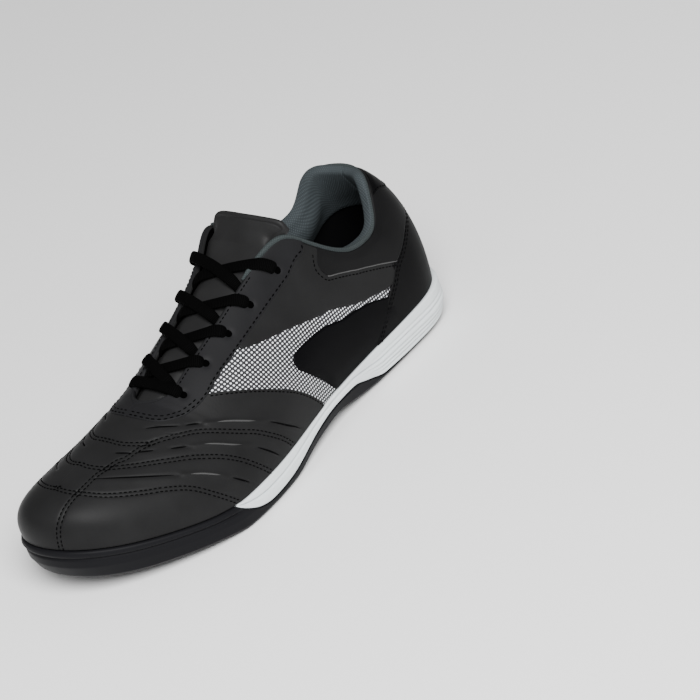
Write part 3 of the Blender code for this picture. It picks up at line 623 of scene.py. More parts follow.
# Pleats, the ends of the throat's bridge along the loop, and the way up from the instep
CREST_HEIGHT, CREASE_DEPTH = 0.5, 0.4
BRIDGE_START, BRIDGE_MIDDLE, BRIDGE_SIDE = 4.7, 5.65, 6.15
INSTEP_UP = np.array([0.35, 0.0, 0.937])

# Outlines of the panels: place along the loop, and the levels of the lower and upper edges
PANEL_COLUMNS = ("loop", "low", "high")
EYESTAY = (
    (4.46, 0.99, 1), (4.465, 0.97, 1), (4.49, 0.925, 1), (4.55, 0.865, 1), (4.65, 0.805, 1), (4.8, 0.76, 1),
    (4.98, 0.735, 1), (5.23, 0.725, 1), (5.53, 0.735, 1), (5.85, 0.757, 1), (6.1, 0.768, 1), (6.4, 0.766, 1),
    (6.62, 0.764, 1), (7.2, 0.775, 1), (8.8, 0.76, 1), (9.5, 0.756, 1), (10, 0.8, 1), (10.52, 0.88, 1),
    (10.7, 0.985, 1),
)
VAMP = (
    (0, 0, 1), (4.56, 0, 1), (4.6, 0, 0.955), (4.65, 0, 0.9), (4.72, 0, 0.845), (4.85, 0, 0.8),
    (5.03, 0, 0.775), (5.23, 0, 0.765), (5.53, 0, 0.775), (5.85, 0, 0.795), (6.1, 0, 0.806), (6.4, 0, 0.804),
    (6.68, 0, 0.77), (7, 0, 0.64), (7.32, 0, 0.513), (7.65, 0, 0.39), (8.05, 0, 0.25), (8.62, 0, 0.02),
)
QUARTER_BAND = (
    (7.86, 0.75, 0.8), (8.28, 0.656, 0.81), (8.93, 0.544, 0.8), (9.75, 0.438, 0.82), (10.2, 0.42, 0.97),
    (10.93, 0.413, 0.985), (11.98, 0.431, 0.985), (12.48, 0.4, 0.97), (12.9, 0.4, 0.7),
)
SIDE_PANEL = (
    (8.4, 0.34, 0.39), (8.5, 0.29, 0.42), (8.65, 0.225, 0.425), (8.98, 0.106, 0.413), (9.33, 0, 0.395),
    (10.43, 0, 0.34), (11.2, 0, 0.375), (11.7, 0, 0.394), (12.3, 0, 0.34), (12.7, 0, 0.3),
)
HEEL_COUNTER = (
    (11.36, 0, 0.02), (11.7, 0, 0.138), (12.18, 0, 0.288), (12.53, 0, 0.39), (13.12, 0, 0.555),
    (13.93, 0, 0.569), (14.38, 0, 0.577), (16, 0, 0.6),
)
COLLAR_PANEL = (
    (10.7, 0.733, 0.743), (10.75, 0.7, 0.78), (10.85, 0.677, 0.85), (10.93, 0.68, 0.9), (11.08, 0.694, 0.985),
    (11.3, 0.719, 0.985), (11.5, 0.737, 0.985), (11.7, 0.748, 0.985), (11.9, 0.748, 0.985),
    (12.08, 0.738, 0.985), (12.28, 0.713, 0.985), (12.48, 0.681, 0.985), (12.68, 0.644, 0.985),
    (12.88, 0.6, 0.985), (13.12, 0.545, 0.985), (16, 0.57, 0.985),
)
HEEL_TAB = (
    (13.95, 0.95, 0.965), (14.4, 0.87, 0.965), (14.85, 0.775, 0.965), (15.4, 0.73, 0.965), (16, 0.715, 0.965),
)


def panel_places(rows, columns, steps, form, gather):
    """Places and levels of a panel's grid on one side, over the toe or round the heel.

    On one side, its columns can be gathered towards its front end."""
    first, last = rows[0][0], rows[-1][0]
    if form == "toe":
        at = np.linspace(-last, last, columns)
    elif form == "heel":
        at = np.linspace(first, LOOP_ROWS - first, columns)
    else:
        at = first + (last - first) * np.linspace(0, 1, columns) ** gather
    edges = read(rows, PANEL_COLUMNS, folded(at))
    if form == "inner":
        at = -at
    share = np.linspace(0, 1, steps)
    level = edges["low"][:, None] + (edges["high"] - edges["low"])[:, None] * share
    return np.repeat(at[:, None], steps, 1), level


def make_panel(name, rows, size, forms, lift, radius, material, relief=None, crown=0.0, tuck=0.0,
               plain_until=SHARED_RIDGE_END, gather=1):
    """An overlay panel with rounded edges that sink into what lies below it.

    Its top edge is plain up to a place along the loop, and it can tuck under the collar's lining."""
    columns, steps = size
    coarse, below, sunk, tucked, crown_reach = 4, 0.6, 0.15, 0.75, 6
    parts = []
    for form in forms:
        place, level = panel_places(rows, columns, steps, form, gather)
        surface, normal = skin(place, level), ridge_normal(place, level)
        along, reaches_top = folded(place[:, 0]), level[:, -1] > 0.999
        distance = border_distance(surface, ~((along <= plain_until) & reaches_top))
        height = -sunk + (lift + sunk) * rounded(distance, radius)
        height += crown * (1 - hill(distance, crown_reach))
        if tuck:
            from_top = np.linalg.norm(surface - surface[:, -1:], axis=2)
            height *= tucked + (1 - tucked) * ramp(from_top, 0, tuck)
        if relief:
            height += relief(surface) * np.clip(distance / radius, 0, 1)
        top, bottom = surface + normal * height[..., None], surface - normal * below
        parts.append(shell(top, bottom, coarse, (along <= SHARED_RIDGE_END) & reaches_top))
    return new_piece(name, *joined(parts), [material], "leather", weld=True)


# Seams, pleats and creases: lines of places on the skin (loop, level), from the ridge down the outer side

SEAM_A = ((3.36, 1), (3.53, 0.863), (3.98, 0.731), (4.35, 0.678), (4.93, 0.606), (5.78, 0.53), (6.3, 0.388),
          (6.6, 0.24), (7, 0.03))
SEAM_B = ((1.75, 1), (2.05, 0.9), (2.55, 0.775), (3.25, 0.656), (4, 0.55), (4.65, 0.444), (5.43, 0.269),
          (6, 0.01))
SEAM_C = ((0, 0.894), (0.5, 0.83), (1, 0.735), (1.45, 0.656), (2.18, 0.531), (3, 0.431), (3.53, 0.375),
          (4, 0.3), (4.38, 0.169), (4.74, 0.02))
SIDE_SEAM = ((4.2, 0.698), (3.68, 0.733), (3.28, 0.737), (2.85, 0.766), (2.28, 0.766), (1.48, 0.681),
             (1.05, 0.544), (0.83, 0.325), (0.74, 0.15), (0.68, 0.01))
INNER_SEAM_SHIFT, INNER_SEAM_SHARE = 1, 0.8
INNER_SIDE_SEAM = tuple((loop + INNER_SEAM_SHIFT, level * INNER_SEAM_SHARE) for loop, level in SIDE_SEAM)

# Each pleat: its line, then the stretches along the loop where it is a crest, and those where it is a crease
PLEATS = (
    (((4, 0.98), (4.15, 0.9), (4.33, 0.819), (5, 0.675), (5.6, 0.64), (5.85, 0.62), (6.23, 0.555),
      (6.65, 0.385), (6.78, 0.331), (7.1, 0.185), (7.35, 0.1), (7.6, 0.01)),
     ((5.75, 6.78),), ((4.33, 5.05), (5.15, 5.65), (6.8, 7.5))),
    (((2.8, 0.98), (3.1, 0.85), (3.45, 0.756), (3.98, 0.656), (4.3, 0.597), (4.65, 0.537), (4.8, 0.511),
      (5.38, 0.43), (5.98, 0.319), (6.05, 0.281), (6.28, 0.156), (6.52, 0.02)),
     ((4.72, 6.02),), ((3.1, 3.5), (3.62, 4), (4.28, 4.66), (6.05, 6.46))),
    (((1.2, 0.96), (1.55, 0.875), (2, 0.756), (2.98, 0.585), (3.93, 0.431), (4.1, 0.402), (4.45, 0.338),
      (4.83, 0.232), (5.28, 0.075)),
     ((4.02, 4.86),), ((2, 3.95), (4.88, 5.25))),
)

# Lines along the edges of the other panels, for their stitches
THROAT_EDGE = ((6.25, 1), (7.2, 1), (8.2, 1), (9, 1))
MESH_FRONT = 6.68
MESH_EDGE = tuple((loop, high) for loop, _, high in VAMP if loop >= MESH_FRONT)
EYESTAY_EDGE = tuple((loop, low) for loop, low, _ in EYESTAY)
EYESTAY_FRONT = EYESTAY_EDGE[:12]
COLLAR_EDGE = tuple((loop, low) for loop, low, _ in COLLAR_PANEL[2:15])
COLLAR_FRONT = ((10.93, 0.9), (10.75, 0.78), (10.7, 0.738), (10.75, 0.7)) + COLLAR_EDGE
COUNTER_EDGE = tuple((loop, high) for loop, _, high in HEEL_COUNTER)
TAB_EDGE = tuple((loop, low) for loop, low, _ in HEEL_TAB)

# Spacing of the points on a line, the rows of a double seam, and the stitches
LINE_SPACING = 0.5
SEAM_ROW, SEAM_SINK = 1.0, 0.3
STITCH_PITCH, STITCH_SHARE, STITCH_RADIUS = 2.6, 0.7, 0.34
EYESTAY_PITCH = 3.2


def skin_line(rows, mirrored=False):
    """A smooth line on the skin: evenly spaced points with their normals, directions and places."""
    rows, steps_per_row = np.array(rows, float), 60
    fine = np.linspace(0, len(rows) - 1, steps_per_row * len(rows))
    smooth = read(np.column_stack([np.arange(len(rows)), rows]), ("row", "loop", "level"), fine)
    turn = -1 if mirrored else 1
    points = skin(turn * smooth["loop"], smooth["level"])
    length = run_lengths(points)
    even = np.arange(0, length[-1], LINE_SPACING)
    loop, level = (np.interp(even, length, smooth[name]) for name in ("loop", "level"))
    points, normals = skin(turn * loop, level), ridge_normal(turn * loop, level)
    along = unit(np.gradient(points, axis=0))
    return {"points": points, "normals": normals, "along": along, "side": turn * np.cross(normals, along),
            "length": even, "loop": loop, "level": level, "turn": turn}


def beside(line, offset):
    """Points and normals on the skin at a distance to the side of a line."""
    loop, level = line["turn"] * line["loop"], line["level"].copy()
    target = line["points"] + line["side"] * offset
    step, rounds = 0.01, 3
    for _ in range(rounds):
        here = skin(loop, level)
        by_loop, by_level = (skin(loop + step, level) - here) / step, (here - skin(loop, level - step)) / step
        frame_of = np.stack([by_loop, by_level], -1)
        move = np.einsum("nij,nj->ni", np.linalg.pinv(frame_of), target - here)
        loop, level = loop + move[:, 0], np.clip(level + move[:, 1], step, 1)
    return skin(loop, level), ridge_normal(loop, level)


def both_sides(rows):
    """A line on the outer side, and the same line mirrored on the inner side."""
    return [skin_line(rows), skin_line(rows, mirrored=True)]


def line_field(surface, line, reach):
    """Which points lie near a line, how far across it they are, and their nearest place on it."""
    path = line["points"]
    flat = surface.reshape(-1, 3)
    near = np.all((flat > path.min(axis=0) - reach) & (flat < path.max(axis=0) + reach), axis=1)
    tree = kdtree.KDTree(len(path))
    for k, point in enumerate(path):
        tree.insert(point, k)
    tree.balance()
    chosen = flat[near]
    nearest = np.array([tree.find(point)[1] for point in chosen], int)
    delta = chosen - path[nearest]
    between = np.clip(np.sum(delta * line["along"][nearest], axis=1), -LINE_SPACING / 2, LINE_SPACING / 2)
    delta -= line["along"][nearest] * between[:, None]
    across = np.sign(np.sum(delta * line["side"][nearest], axis=1)) * np.linalg.norm(delta, axis=1)
    return near, across, nearest


def vamp_seams():
    """Lines of the vamp's double seams; the one along the side has its own place on the inner side."""
    across = [line for rows in (SEAM_A, SEAM_B, SEAM_C) for line in both_sides(rows)]
    return across + [skin_line(SIDE_SEAM), skin_line(INNER_SIDE_SEAM, mirrored=True)]


def vamp_relief(surface):
    """Seams that sink in, and pleats that are creases in places and crests in others."""
    height = np.zeros(surface.shape[0] * surface.shape[1])
    reach, row_width, pillow, pillow_width = 6, 0.55, 0.12, 2.4
    for line in vamp_seams():
        near, across, _ = line_field(surface, line, reach)
        rows_sunk = hill(abs(across) - SEAM_ROW, row_width) * SEAM_SINK
        height[near] -= rows_sunk + pillow * hill(across, pillow_width)
    crest_width, crease_width = 1.3, 0.8
    fold, fold_width, fold_offset, fold_start, fold_full = 0.15, 2.0, 2.2, 2, 14
    for rows, crests, creases in PLEATS:
        for line in both_sides(rows):
            near, across, nearest = line_field(surface, line, reach)
            loop, length, total = line["loop"][nearest], line["length"][nearest], line["length"][-1]
            ends = ramp(length, fold_start, fold_full) * (1 - ramp(length, total - fold_full, total))
            height[near] += within(loop, crests) * CREST_HEIGHT * hill(across, crest_width)
            height[near] -= within(loop, creases) * CREASE_DEPTH * hill(across, crease_width)
            height[near] += ends * fold * hill(across + fold_offset, fold_width)
    return height.reshape(surface.shape[:2])


def tapered_line(line, loop_range, centre_height, radius):
    """Points and faces of a thin rod along part of a line on the skin, pointed at both ends."""
    corners, end_sink = 8, 0.25
    low, high = np.searchsorted(line["loop"], loop_range)
    chosen = slice(max(low, 1), min(high, len(line["loop"]) - 1))
    points, normals, side = (line[key][chosen] for key in ("points", "normals", "side"))
    taper = np.sqrt(np.sin(np.pi * np.linspace(0.001, 0.999, len(points))))
    centres = points + normals * (centre_height - end_sink * (1 - taper))[:, None]
    return tube(round_rings(centres, normals, side, radius * taper, corners))


def make_pleats():
    """Painted highlights on the pleats' crests, in a paler glossy leather, and painted shade in their
    creases, as thin dark rods along them.
    """
    crest_radius, crest_centre = 0.6, PANEL_LIFT + CREST_HEIGHT - 0.35
    crease_radius, crease_centre = 0.46, PANEL_LIFT - CREASE_DEPTH + 0.1
    crests, creases = [], []
    for rows, crest_runs, crease_runs in PLEATS:
        for line in both_sides(rows):
            crests += [tapered_line(line, run, crest_centre, crest_radius) for run in crest_runs]
            creases += [tapered_line(line, run, crease_centre, crease_radius) for run in crease_runs]
    # The pale crest rods are a painted highlight and the dark crease rods are painted shade
    new_piece("pleat_crest_highlights", *joined(crests), [CREST_HIGHLIGHT_LEATHER], "leather")
    new_piece("pleat_crease_shade", *joined(creases), [THREAD_AND_CREASE_SHADE], "leather")


def capsules(name, centres, directions, length, radius, material):
    """Many small rounded rods as one mesh, each with its own directions: along, sideways and up."""
    sides, shape = 6, ((-1, 0), (-0.8, 0.65), (-0.35, 1), (0.35, 1), (0.8, 0.65), (1, 0))
    turn = np.linspace(0, 2 * np.pi, sides, endpoint=False)
    template = np.array([(share * length / 2, wide * radius * np.cos(a), wide * radius * np.sin(a))
                         for share, wide in shape for a in turn])
    quads = []
    for here in range(0, (len(shape) - 1) * sides, sides):
        for j in range(sides):
            after = (j + 1) % sides
            quads.append((here + j, here + after, here + sides + after, here + sides + j))
    points = centres[:, None] + np.einsum("tk,nkx->ntx", template, np.stack(directions, 1))
    faces = np.array(quads)[None] + np.arange(len(centres))[:, None, None] * len(template)
    new_piece(name, points.reshape(-1, 3), faces.reshape(-1, 4), [material], "leather", weld=True)


def make_stitches(name, lines, offsets, lift, pitch=STITCH_PITCH, radius=STITCH_RADIUS):
    """Rows of stitches along lines, each row a distance to the side of its line."""
    parts = []
    for line in lines:
        for offset in offsets:
            path, normals = beside(line, offset)
            along = unit(np.gradient(path, axis=0))
            run = run_lengths(path)
            k = np.clip(np.searchsorted(run, np.arange(pitch / 2, run[-1], pitch)), 0, len(run) - 1)
            parts.append([path[k] + normals[k] * lift, along[k], np.cross(normals, along)[k], normals[k]])
    centres, *directions = (np.concatenate([part[k] for part in parts]) for k in range(4))
    capsules(name, centres, directions, pitch * STITCH_SHARE, radius, THREAD_AND_CREASE_SHADE)


def make_seams():
    """Stitches: their lines, how far each row lies to the side of its line, and how high."""
    eyestay_lift = TOP_LIFT - 0.1
    make_stitches("vamp_stitches", vamp_seams(), (-SEAM_ROW, SEAM_ROW), PANEL_LIFT - SEAM_SINK)
    make_stitches("mesh_edge_stitches", both_sides(MESH_EDGE), (-1.6,), PANEL_LIFT)
    for name, rows, offset, radius in (("eyestay_stitches", EYESTAY_EDGE, 1.4, 0.45),
                                       ("eyestay_front_stitches", EYESTAY_FRONT, 3.6, 0.4)):
        make_stitches(name, both_sides(rows), (offset,), eyestay_lift, EYESTAY_PITCH, radius)
    make_stitches("throat_stitches", both_sides(THROAT_EDGE), (-2.0,), TOP_LIFT)
    make_stitches("collar_stitches", both_sides(COLLAR_FRONT), (-2.2,), PANEL_LIFT)
    make_stitches("counter_stitches", both_sides(COUNTER_EDGE), (-1.6, -3.4), COUNTER_LIFT, radius=0.27)
    make_stitches("tab_stitches", both_sides(TAB_EDGE), (1.7,), TAB_LIFT)


def make_panels():
    """The overlays, from the lowest to those that lie on others."""
    vamp = make_panel("vamp_panel", VAMP, (641, 137), ["toe"], PANEL_LIFT, 0.9, BLACK_LEATHER, vamp_relief)
    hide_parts("vamp")
    eyestay = make_panel("eyestay_panel", EYESTAY, (241, 41), ["outer", "inner"], TOP_LIFT, 0.9,
                         EYESTAY_LEATHER, eyestay_relief, plain_until=BRIDGE_SIDE, gather=1.8)
    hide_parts("eyestay")
    for form in ("outer", "inner"):
        band = make_panel(f"quarter_panel_{form}", QUARTER_BAND, (201, 41), [form], PANEL_LIFT, 0.9,
                          BLACK_LEATHER)
        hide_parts(f"quarter_band_{form}")
        side = make_panel(f"side_drop_{form}", SIDE_PANEL, (161, 41), [form], PANEL_LIFT, 1.2, DARK_PANEL,
                          crown=0.6)
        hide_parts(f"side_panel_{form}")
    counter = make_panel("counter_panel", HEEL_COUNTER, (281, 45), ["heel"], COUNTER_LIFT, 0.8, HEEL_LEATHER)
    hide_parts("heel_counter")
    collar = make_panel("collar_padded_panel", COLLAR_PANEL, (321, 41), ["heel"], COLLAR_LIFT, 0.7,
                        COLLAR_LEATHER, crown=0.2, tuck=6)
    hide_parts("collar_panel")
    make_panel("heel_tab", HEEL_TAB, (81, 25), ["heel"], TAB_LIFT, 0.8, HEEL_LEATHER, tuck=4)


def make_throat_bridge():
    """The front of the eyestay, which closes the throat with a rounded edge."""
    columns, steps, coarse = 65, 41, 4
    arch, below, edge, hollow, lift = 0.07, 0.6, 0.9, 2.5, TOP_LIFT - 0.04
    across = np.linspace(-1, 1, columns)[:, None]
    end = BRIDGE_MIDDLE + (BRIDGE_SIDE - BRIDGE_MIDDLE) * abs(across) ** hollow
    at = BRIDGE_START + (end - BRIDGE_START) * np.linspace(0, 1, steps)
    outer, inner = skin(at, 1.0), skin(-at, 1.0)
    surface = (outer * (1 + across)[..., None] + inner * (1 - across)[..., None]) / 2
    gap = np.linalg.norm(outer - inner, axis=2)
    surface += INSTEP_UP * (arch * gap * (1 - across ** 2))[..., None]
    normal = unit(skin_normal(at, 1.0) + skin_normal(-at, 1.0))
    run = run_lengths(surface, axis=1)
    top = surface + normal * (lift * rounded(run[:, -1:] - run, edge))[..., None]
    points, faces = shell(top, surface - normal * below, coarse)
    bridge = new_piece("eyestay_bridge", points, faces, [EYESTAY_LEATHER], "leather")
    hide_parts("eyestay")


# Sole

# Grooves round the wedge: share of its height, depth, width, and the stretch of x over which they fade out
WEDGE_GROOVES = (
    (0.13, 1.1, 0.55, 62, 84),
    (0.26, 1.2, 0.55, 64, 88),
    (0.39, 1.2, 0.55, 66, 92),
    (0.56, 1.4, 0.6, 214, 222),
    (0.7, 0.9, 0.55, 50, 90),
)
WEDGE_EDGE, CUP_EDGE = 0.9, 0.8
NOSE_TIP_X = WEDGE_NOSE_START + (WEDGE_NOSE_END - WEDGE_NOSE_START) * WEDGE_NOSE_BLUNT

# Lip and groove of the cup at the forefoot: share of its height, how far they stand out or go in, and width
LIP_SHARE, LIP_RISE, LIP_WIDTH = 0.88, 0.7, 1.3
CUP_GROOVE_SHARE, CUP_GROOVE_DEPTH, CUP_GROOVE_WIDTH = 0.77, 1.1, 0.55
LIP_START_X, LIP_FULL_X = NOSE_TIP_X - 6, NOSE_TIP_X + 4

# Tread, guessed from the other shoe: pockets with bars or bumps in them, a pivot disc and an oval
POCKET_DEPTH, POCKET_EDGE = 1.6, 1.0
POCKET_COLUMNS = ("x", "inner", "outer")
BAR_POCKETS = (
    ((216, -20, 32), (232, -26, 27), (250, -28, 19), (264, -25, 9), (272, -20, 1)),
    ((150, 18, 31), (165, 16, 37), (185, 14, 39), (206, 14, 37)),
    ((150, -4, 13), (168, -2, 11), (180, 3, 9), (206, 4, 9)),
    ((20, 3, 18), (34, 3, 22), (52, 3, 24), (68, 3, 25)),
)
BUMP_POCKETS = (
    ((148, -26, -8), (158, -28, -8), (168, -31, -12)),
    ((214, -36, -26), (228, -37, -31), (240, -36.5, -31)),
    ((20, -18, -3), (34, -20, -3), (52, -21, -3), (68, -21, -3)),
)
BAR_PITCH, BAR_ZIGZAG, BAR_SLANT, BAR_FLANK = 5.4, 8.0, 0.75, (0.18, 0.32)
BUMP_PITCH, BUMP_RADIUS, BUMP_FLANK = 5.0, 1.8, 0.5
BUMP_ROW_PITCH = 0.866 * BUMP_PITCH
PIVOT_X, PIVOT_Y, PIVOT_RINGS, PIVOT_GROOVE = 187, -18, (13.0, 8.0, 3.0), 1.0
OVAL_X, OVAL_Y, OVAL_HALF_LENGTH, OVAL_HALF_WIDTH = 118, 3, 17, 9
OVAL_DEPTH, OVAL_GROOVE = 0.9, 0.9


def wedge_floor(x):
    """Underside of the white wedge, which curves up to a point at the ball."""
    share = np.clip((x - WEDGE_NOSE_START) / (WEDGE_NOSE_END - WEDGE_NOSE_START), 0, 1)
    level = sole_height(np.minimum(x, WEDGE_NOSE_START), "wedge_floor")
    return level + (sole_height(x, "top") - level) * share ** 2


def grooved_wall(at, low, high, rows, grooves, edge):
    """Points of a sole wall between two heights at each place, with grooves and rounded edges."""
    plan, out = around(slice(0, 2), at), outward(at)
    x = plan[:, 0]
    top, bottom = sole_height(x, "top"), sole_height(x, "bottom")
    columns = []
    for level in np.linspace(0, 1, rows):
        z = low + (high - low) * level
        share = (z - bottom) / (top - bottom)
        offset = wall_offset(x, share)
        for share_up, depth, width, fade_start, fade_end in grooves:
            centre = low + (high - low) * share_up
            offset -= depth * (1 - ramp(x, fade_start, fade_end)) * hill(z - centre, width)
        near_edge = np.minimum(z - low, high - z)
        offset -= edge * (1 - rounded(near_edge, edge))
        columns.append(np.column_stack([plan + out * offset[:, None], z]))
    return np.stack(columns, 1)


def make_midsole():
    """The white wedge: a ribbed wall round the heel that runs out to a point on both sides."""
    search = np.linspace(THROAT_ROW - 2, THROAT_ROW + 2, 801)
    start, end = (np.interp(-NOSE_TIP_X, -plan_x(turn * search), search) for turn in (1, -1))
    columns, rows = 480, 49
    at = np.linspace(start, LOOP_ROWS - end, columns)
    x = plan_x(at)
    wall = grooved_wall(at, wedge_floor(x), sole_height(x, "top"), rows, WEDGE_GROOVES, WEDGE_EDGE)
    faces = grid_quads(columns, rows).tolist()
    for level in (0, rows - 1):
        for i in range(columns // 2 - 1):
            pair = (i, i + 1, columns - 2 - i, columns - 1 - i)
            faces.append([k * rows + level for k in pair])
    faces += [[j, j + 1, (columns - 1) * rows + j + 1, (columns - 1) * rows + j] for j in range(rows - 1)]
    midsole = new_piece("midsole_wedge", wall.reshape(-1, 3), faces, [FOAM], "foam")
    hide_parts("midsole")


def tread(x, y):
    """How far the underside is cut in at each place: bars, bumps, a pivot disc and an oval at the waist."""
    cut = np.zeros_like(x)
    zigzag = abs(y / BAR_ZIGZAG % 2 - 1) * BAR_ZIGZAG
    bars = ramp(abs((x + BAR_SLANT * zigzag) / BAR_PITCH % 1 - 0.5), *BAR_FLANK)
    row = np.round(x / BUMP_ROW_PITCH)
    shifted = y + np.where(row % 2 == 0, 0, BUMP_PITCH / 2)
    bump_x, bump_y = x - row * BUMP_ROW_PITCH, shifted - np.round(shifted / BUMP_PITCH) * BUMP_PITCH
    bumps = 1 - ramp(np.hypot(bump_x, bump_y), BUMP_RADIUS - BUMP_FLANK, BUMP_RADIUS + BUMP_FLANK)
    for pockets, raised in ((BAR_POCKETS, bars), (BUMP_POCKETS, bumps)):
        for rows in pockets:
            edges = read(rows, POCKET_COLUMNS, x.ravel())
            inner, outer = (edges[name].reshape(x.shape) for name in ("inner", "outer"))
            inside = np.minimum.reduce([y - inner, outer - y, x - rows[0][0], rows[-1][0] - x])
            cut = np.maximum(cut, POCKET_DEPTH * ramp(inside, 0, POCKET_EDGE) * (1 - raised))
    radius = np.hypot(x - PIVOT_X, y - PIVOT_Y)
    for ring in PIVOT_RINGS:
        cut = np.maximum(cut, POCKET_DEPTH * hill(radius - ring, PIVOT_GROOVE))
    around_oval = np.hypot((x - OVAL_X) / OVAL_HALF_LENGTH, (y - OVAL_Y) / OVAL_HALF_WIDTH)
    return np.maximum(cut, OVAL_DEPTH * hill((around_oval - 1) * OVAL_HALF_WIDTH, OVAL_GROOVE))


def make_outsole():
    """The rubber cup: a lipped wall at the forefoot, a thin edge under the wedge, and the tread."""
    columns, rows, across, plain_border = 720, 33, 121, 2
    at = np.linspace(0, LOOP_ROWS, columns, endpoint=False)
    x = plan_x(at)
    top, bottom = sole_height(x, "top"), sole_height(x, "bottom")
    cap = np.where(x < NOSE_TIP_X + 1, wedge_floor(x) - GAP, top)
    wall = grooved_wall(at, bottom, cap, rows, (), CUP_EDGE)
    tall = (top - bottom)[:, None]
    share = (wall[..., 2] - bottom[:, None]) / tall
    move = LIP_RISE * hill((share - LIP_SHARE) * tall, LIP_WIDTH)
    move -= CUP_GROOVE_DEPTH * hill((share - CUP_GROOVE_SHARE) * tall, CUP_GROOVE_WIDTH)
    move *= ramp(x, LIP_START_X, LIP_FULL_X)[:, None]
    wall += np.column_stack([outward(at), np.zeros(columns)])[:, None] * move[..., None]
    half = columns // 2
    partner = -np.arange(half + 1) % columns
    mix = np.linspace(0, 1, across)[None, :, None]
    under = wall[:half + 1, 0][:, None] * (1 - mix) + wall[partner, 0][:, None] * mix
    from_border = np.minimum(np.arange(across), np.arange(across)[::-1])
    under[..., 2] += tread(under[..., 0], under[..., 1]) * (from_border > plain_border)
    faces = grid_quads(columns, rows, closed=True).tolist()
    for i in range(half):
        ring = dict.fromkeys((i, i + 1, (columns - i - 1) % columns, (columns - i) % columns))
        faces.append([k * rows + rows - 1 for k in ring])
    faces += (columns * rows + grid_quads(half + 1, across)).tolist()
    points = np.concatenate([wall.reshape(-1, 3), under.reshape(-1, 3)])
    outsole = new_piece("outsole_cup", points, faces, [RUBBER], "rubber", weld=True)
    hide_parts("outsole")


# Tongue, lining and piping

# Tongue: thickness, ends along the loop, and its shape past the collar by share of the length there
TONGUE_THICKNESS, TONGUE_EDGE = 4.5, 1.6
TONGUE_START, TONGUE_COLLAR = 5.15, 9.6
TONGUE_RISE = np.array([-0.55, 0.0, 0.835])
TONGUE_LENGTH_PAST = 16.5
TONGUE_PAST_COLUMNS = ("share", "width", "arch", "shift")
TONGUE_PAST = (
    (0, 1, 1, 0), (0.2, 0.9, 0.95, 0.2), (0.45, 0.84, 0.82, 0.8), (0.7, 0.92, 0.68, 2.4),
    (0.88, 0.99, 0.62, 3.6), (1, 0.98, 0.62, 4.2),
)
TONGUE_TILT, TONGUE_BEND, TONGUE_CORNER = 0.12, 0.2, 0.3
TONGUE_WING_LEVELS, TONGUE_MIDDLE = (0.86, 0.985), 3
TONGUE_CLEARANCE = 1.4
TONGUE_CROWN, TONGUE_SHOULDER = 3.6, 1.4
TONGUE_ROUND = 2.2
BINDING_WIDTH, BINDING_RISE, BINDING_FLANK, BINDING_ROUND = 3.2, 0.5, 0.4, 1.6
BINDING_GROOVE_DEPTH, BINDING_GROOVE_WIDTH = 0.35, 0.5


def tongue_section(at):
    """Points across the tongue: under one side of the throat, over the instep, under the other side."""
    below = UPPER_WALL + TONGUE_CLEARANCE
    levels = np.array(TONGUE_WING_LEVELS)
    outer, inner = (skin(place, levels) - skin_normal(place, levels) * below
                    for place in (at, LOOP_ROWS - at))
    middle = (outer[1] + inner[1]) / 2 + INSTEP_UP * TONGUE_CROWN
    shoulders = [(edge + middle) / 2 + INSTEP_UP * TONGUE_SHOULDER for edge in (outer[1], inner[1])]
    return np.array([outer[0], outer[1], shoulders[0], middle, shoulders[1], inner[1], inner[0]])


def make_tongue():
    """A padded tongue with a bound edge, from under the vamp to past the collar."""
    lower_steps, upper_steps, across_steps = 90, 47, 69
    sections = [tongue_section(at) for at in np.linspace(TONGUE_START, TONGUE_COLLAR, lower_steps)]
    last = sections[-1]
    crown = last[TONGUE_MIDDLE]
    from_middle = last - crown
    shares = np.linspace(0, 1, upper_steps + 1)[1:]
    past = read(TONGUE_PAST, TONGUE_PAST_COLUMNS, shares)
    inner_corner = 1 - TONGUE_CORNER * np.maximum(np.linspace(-1, 1, len(last)), 0) ** 4
    outer_bend = np.maximum(from_middle[:, 1], 0)[:, None] * (-TONGUE_BEND, 0, -TONGUE_TILT)
    for share, width, arch, shift in zip(shares, past["width"], past["arch"], past["shift"]):
        section = crown + from_middle * (1, width, arch) + (0, shift, 0)
        section += TONGUE_RISE * TONGUE_LENGTH_PAST * share * inner_corner[:, None]
        sections.append(section + outer_bend * share)
    across = np.linspace(0, len(last) - 1, across_steps)
    top = np.array([smooth_curve(section, across) for section in sections])
    down = unit(unit(np.cross(np.gradient(top, axis=1), np.gradient(top, axis=0))) - INSTEP_UP)
    fullness = 1 - np.linspace(-1, 1, across_steps) ** 2
    thickness = (TONGUE_EDGE + (TONGUE_THICKNESS - TONGUE_EDGE) * fullness)[None, :, None]
    distance = border_distance(top, np.ones(len(top), bool))
    sunk = (1 - rounded(distance, TONGUE_ROUND))[..., None] * thickness / 2
    binding = 1 - ramp(distance, BINDING_WIDTH - BINDING_FLANK, BINDING_WIDTH + BINDING_FLANK)
    binding *= BINDING_RISE * rounded(distance, BINDING_ROUND)
    from_groove = distance - BINDING_WIDTH - BINDING_GROOVE_WIDTH
    binding -= BINDING_GROOVE_DEPTH * hill(from_groove, BINDING_GROOVE_WIDTH)
    points, faces = shell(top + down * (sunk - binding[..., None]), top + down * (thickness - sunk), 1)
    tongue = new_piece("tongue_padded", points, faces, [TONGUE_LEATHER], "leather")
    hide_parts("tongue")


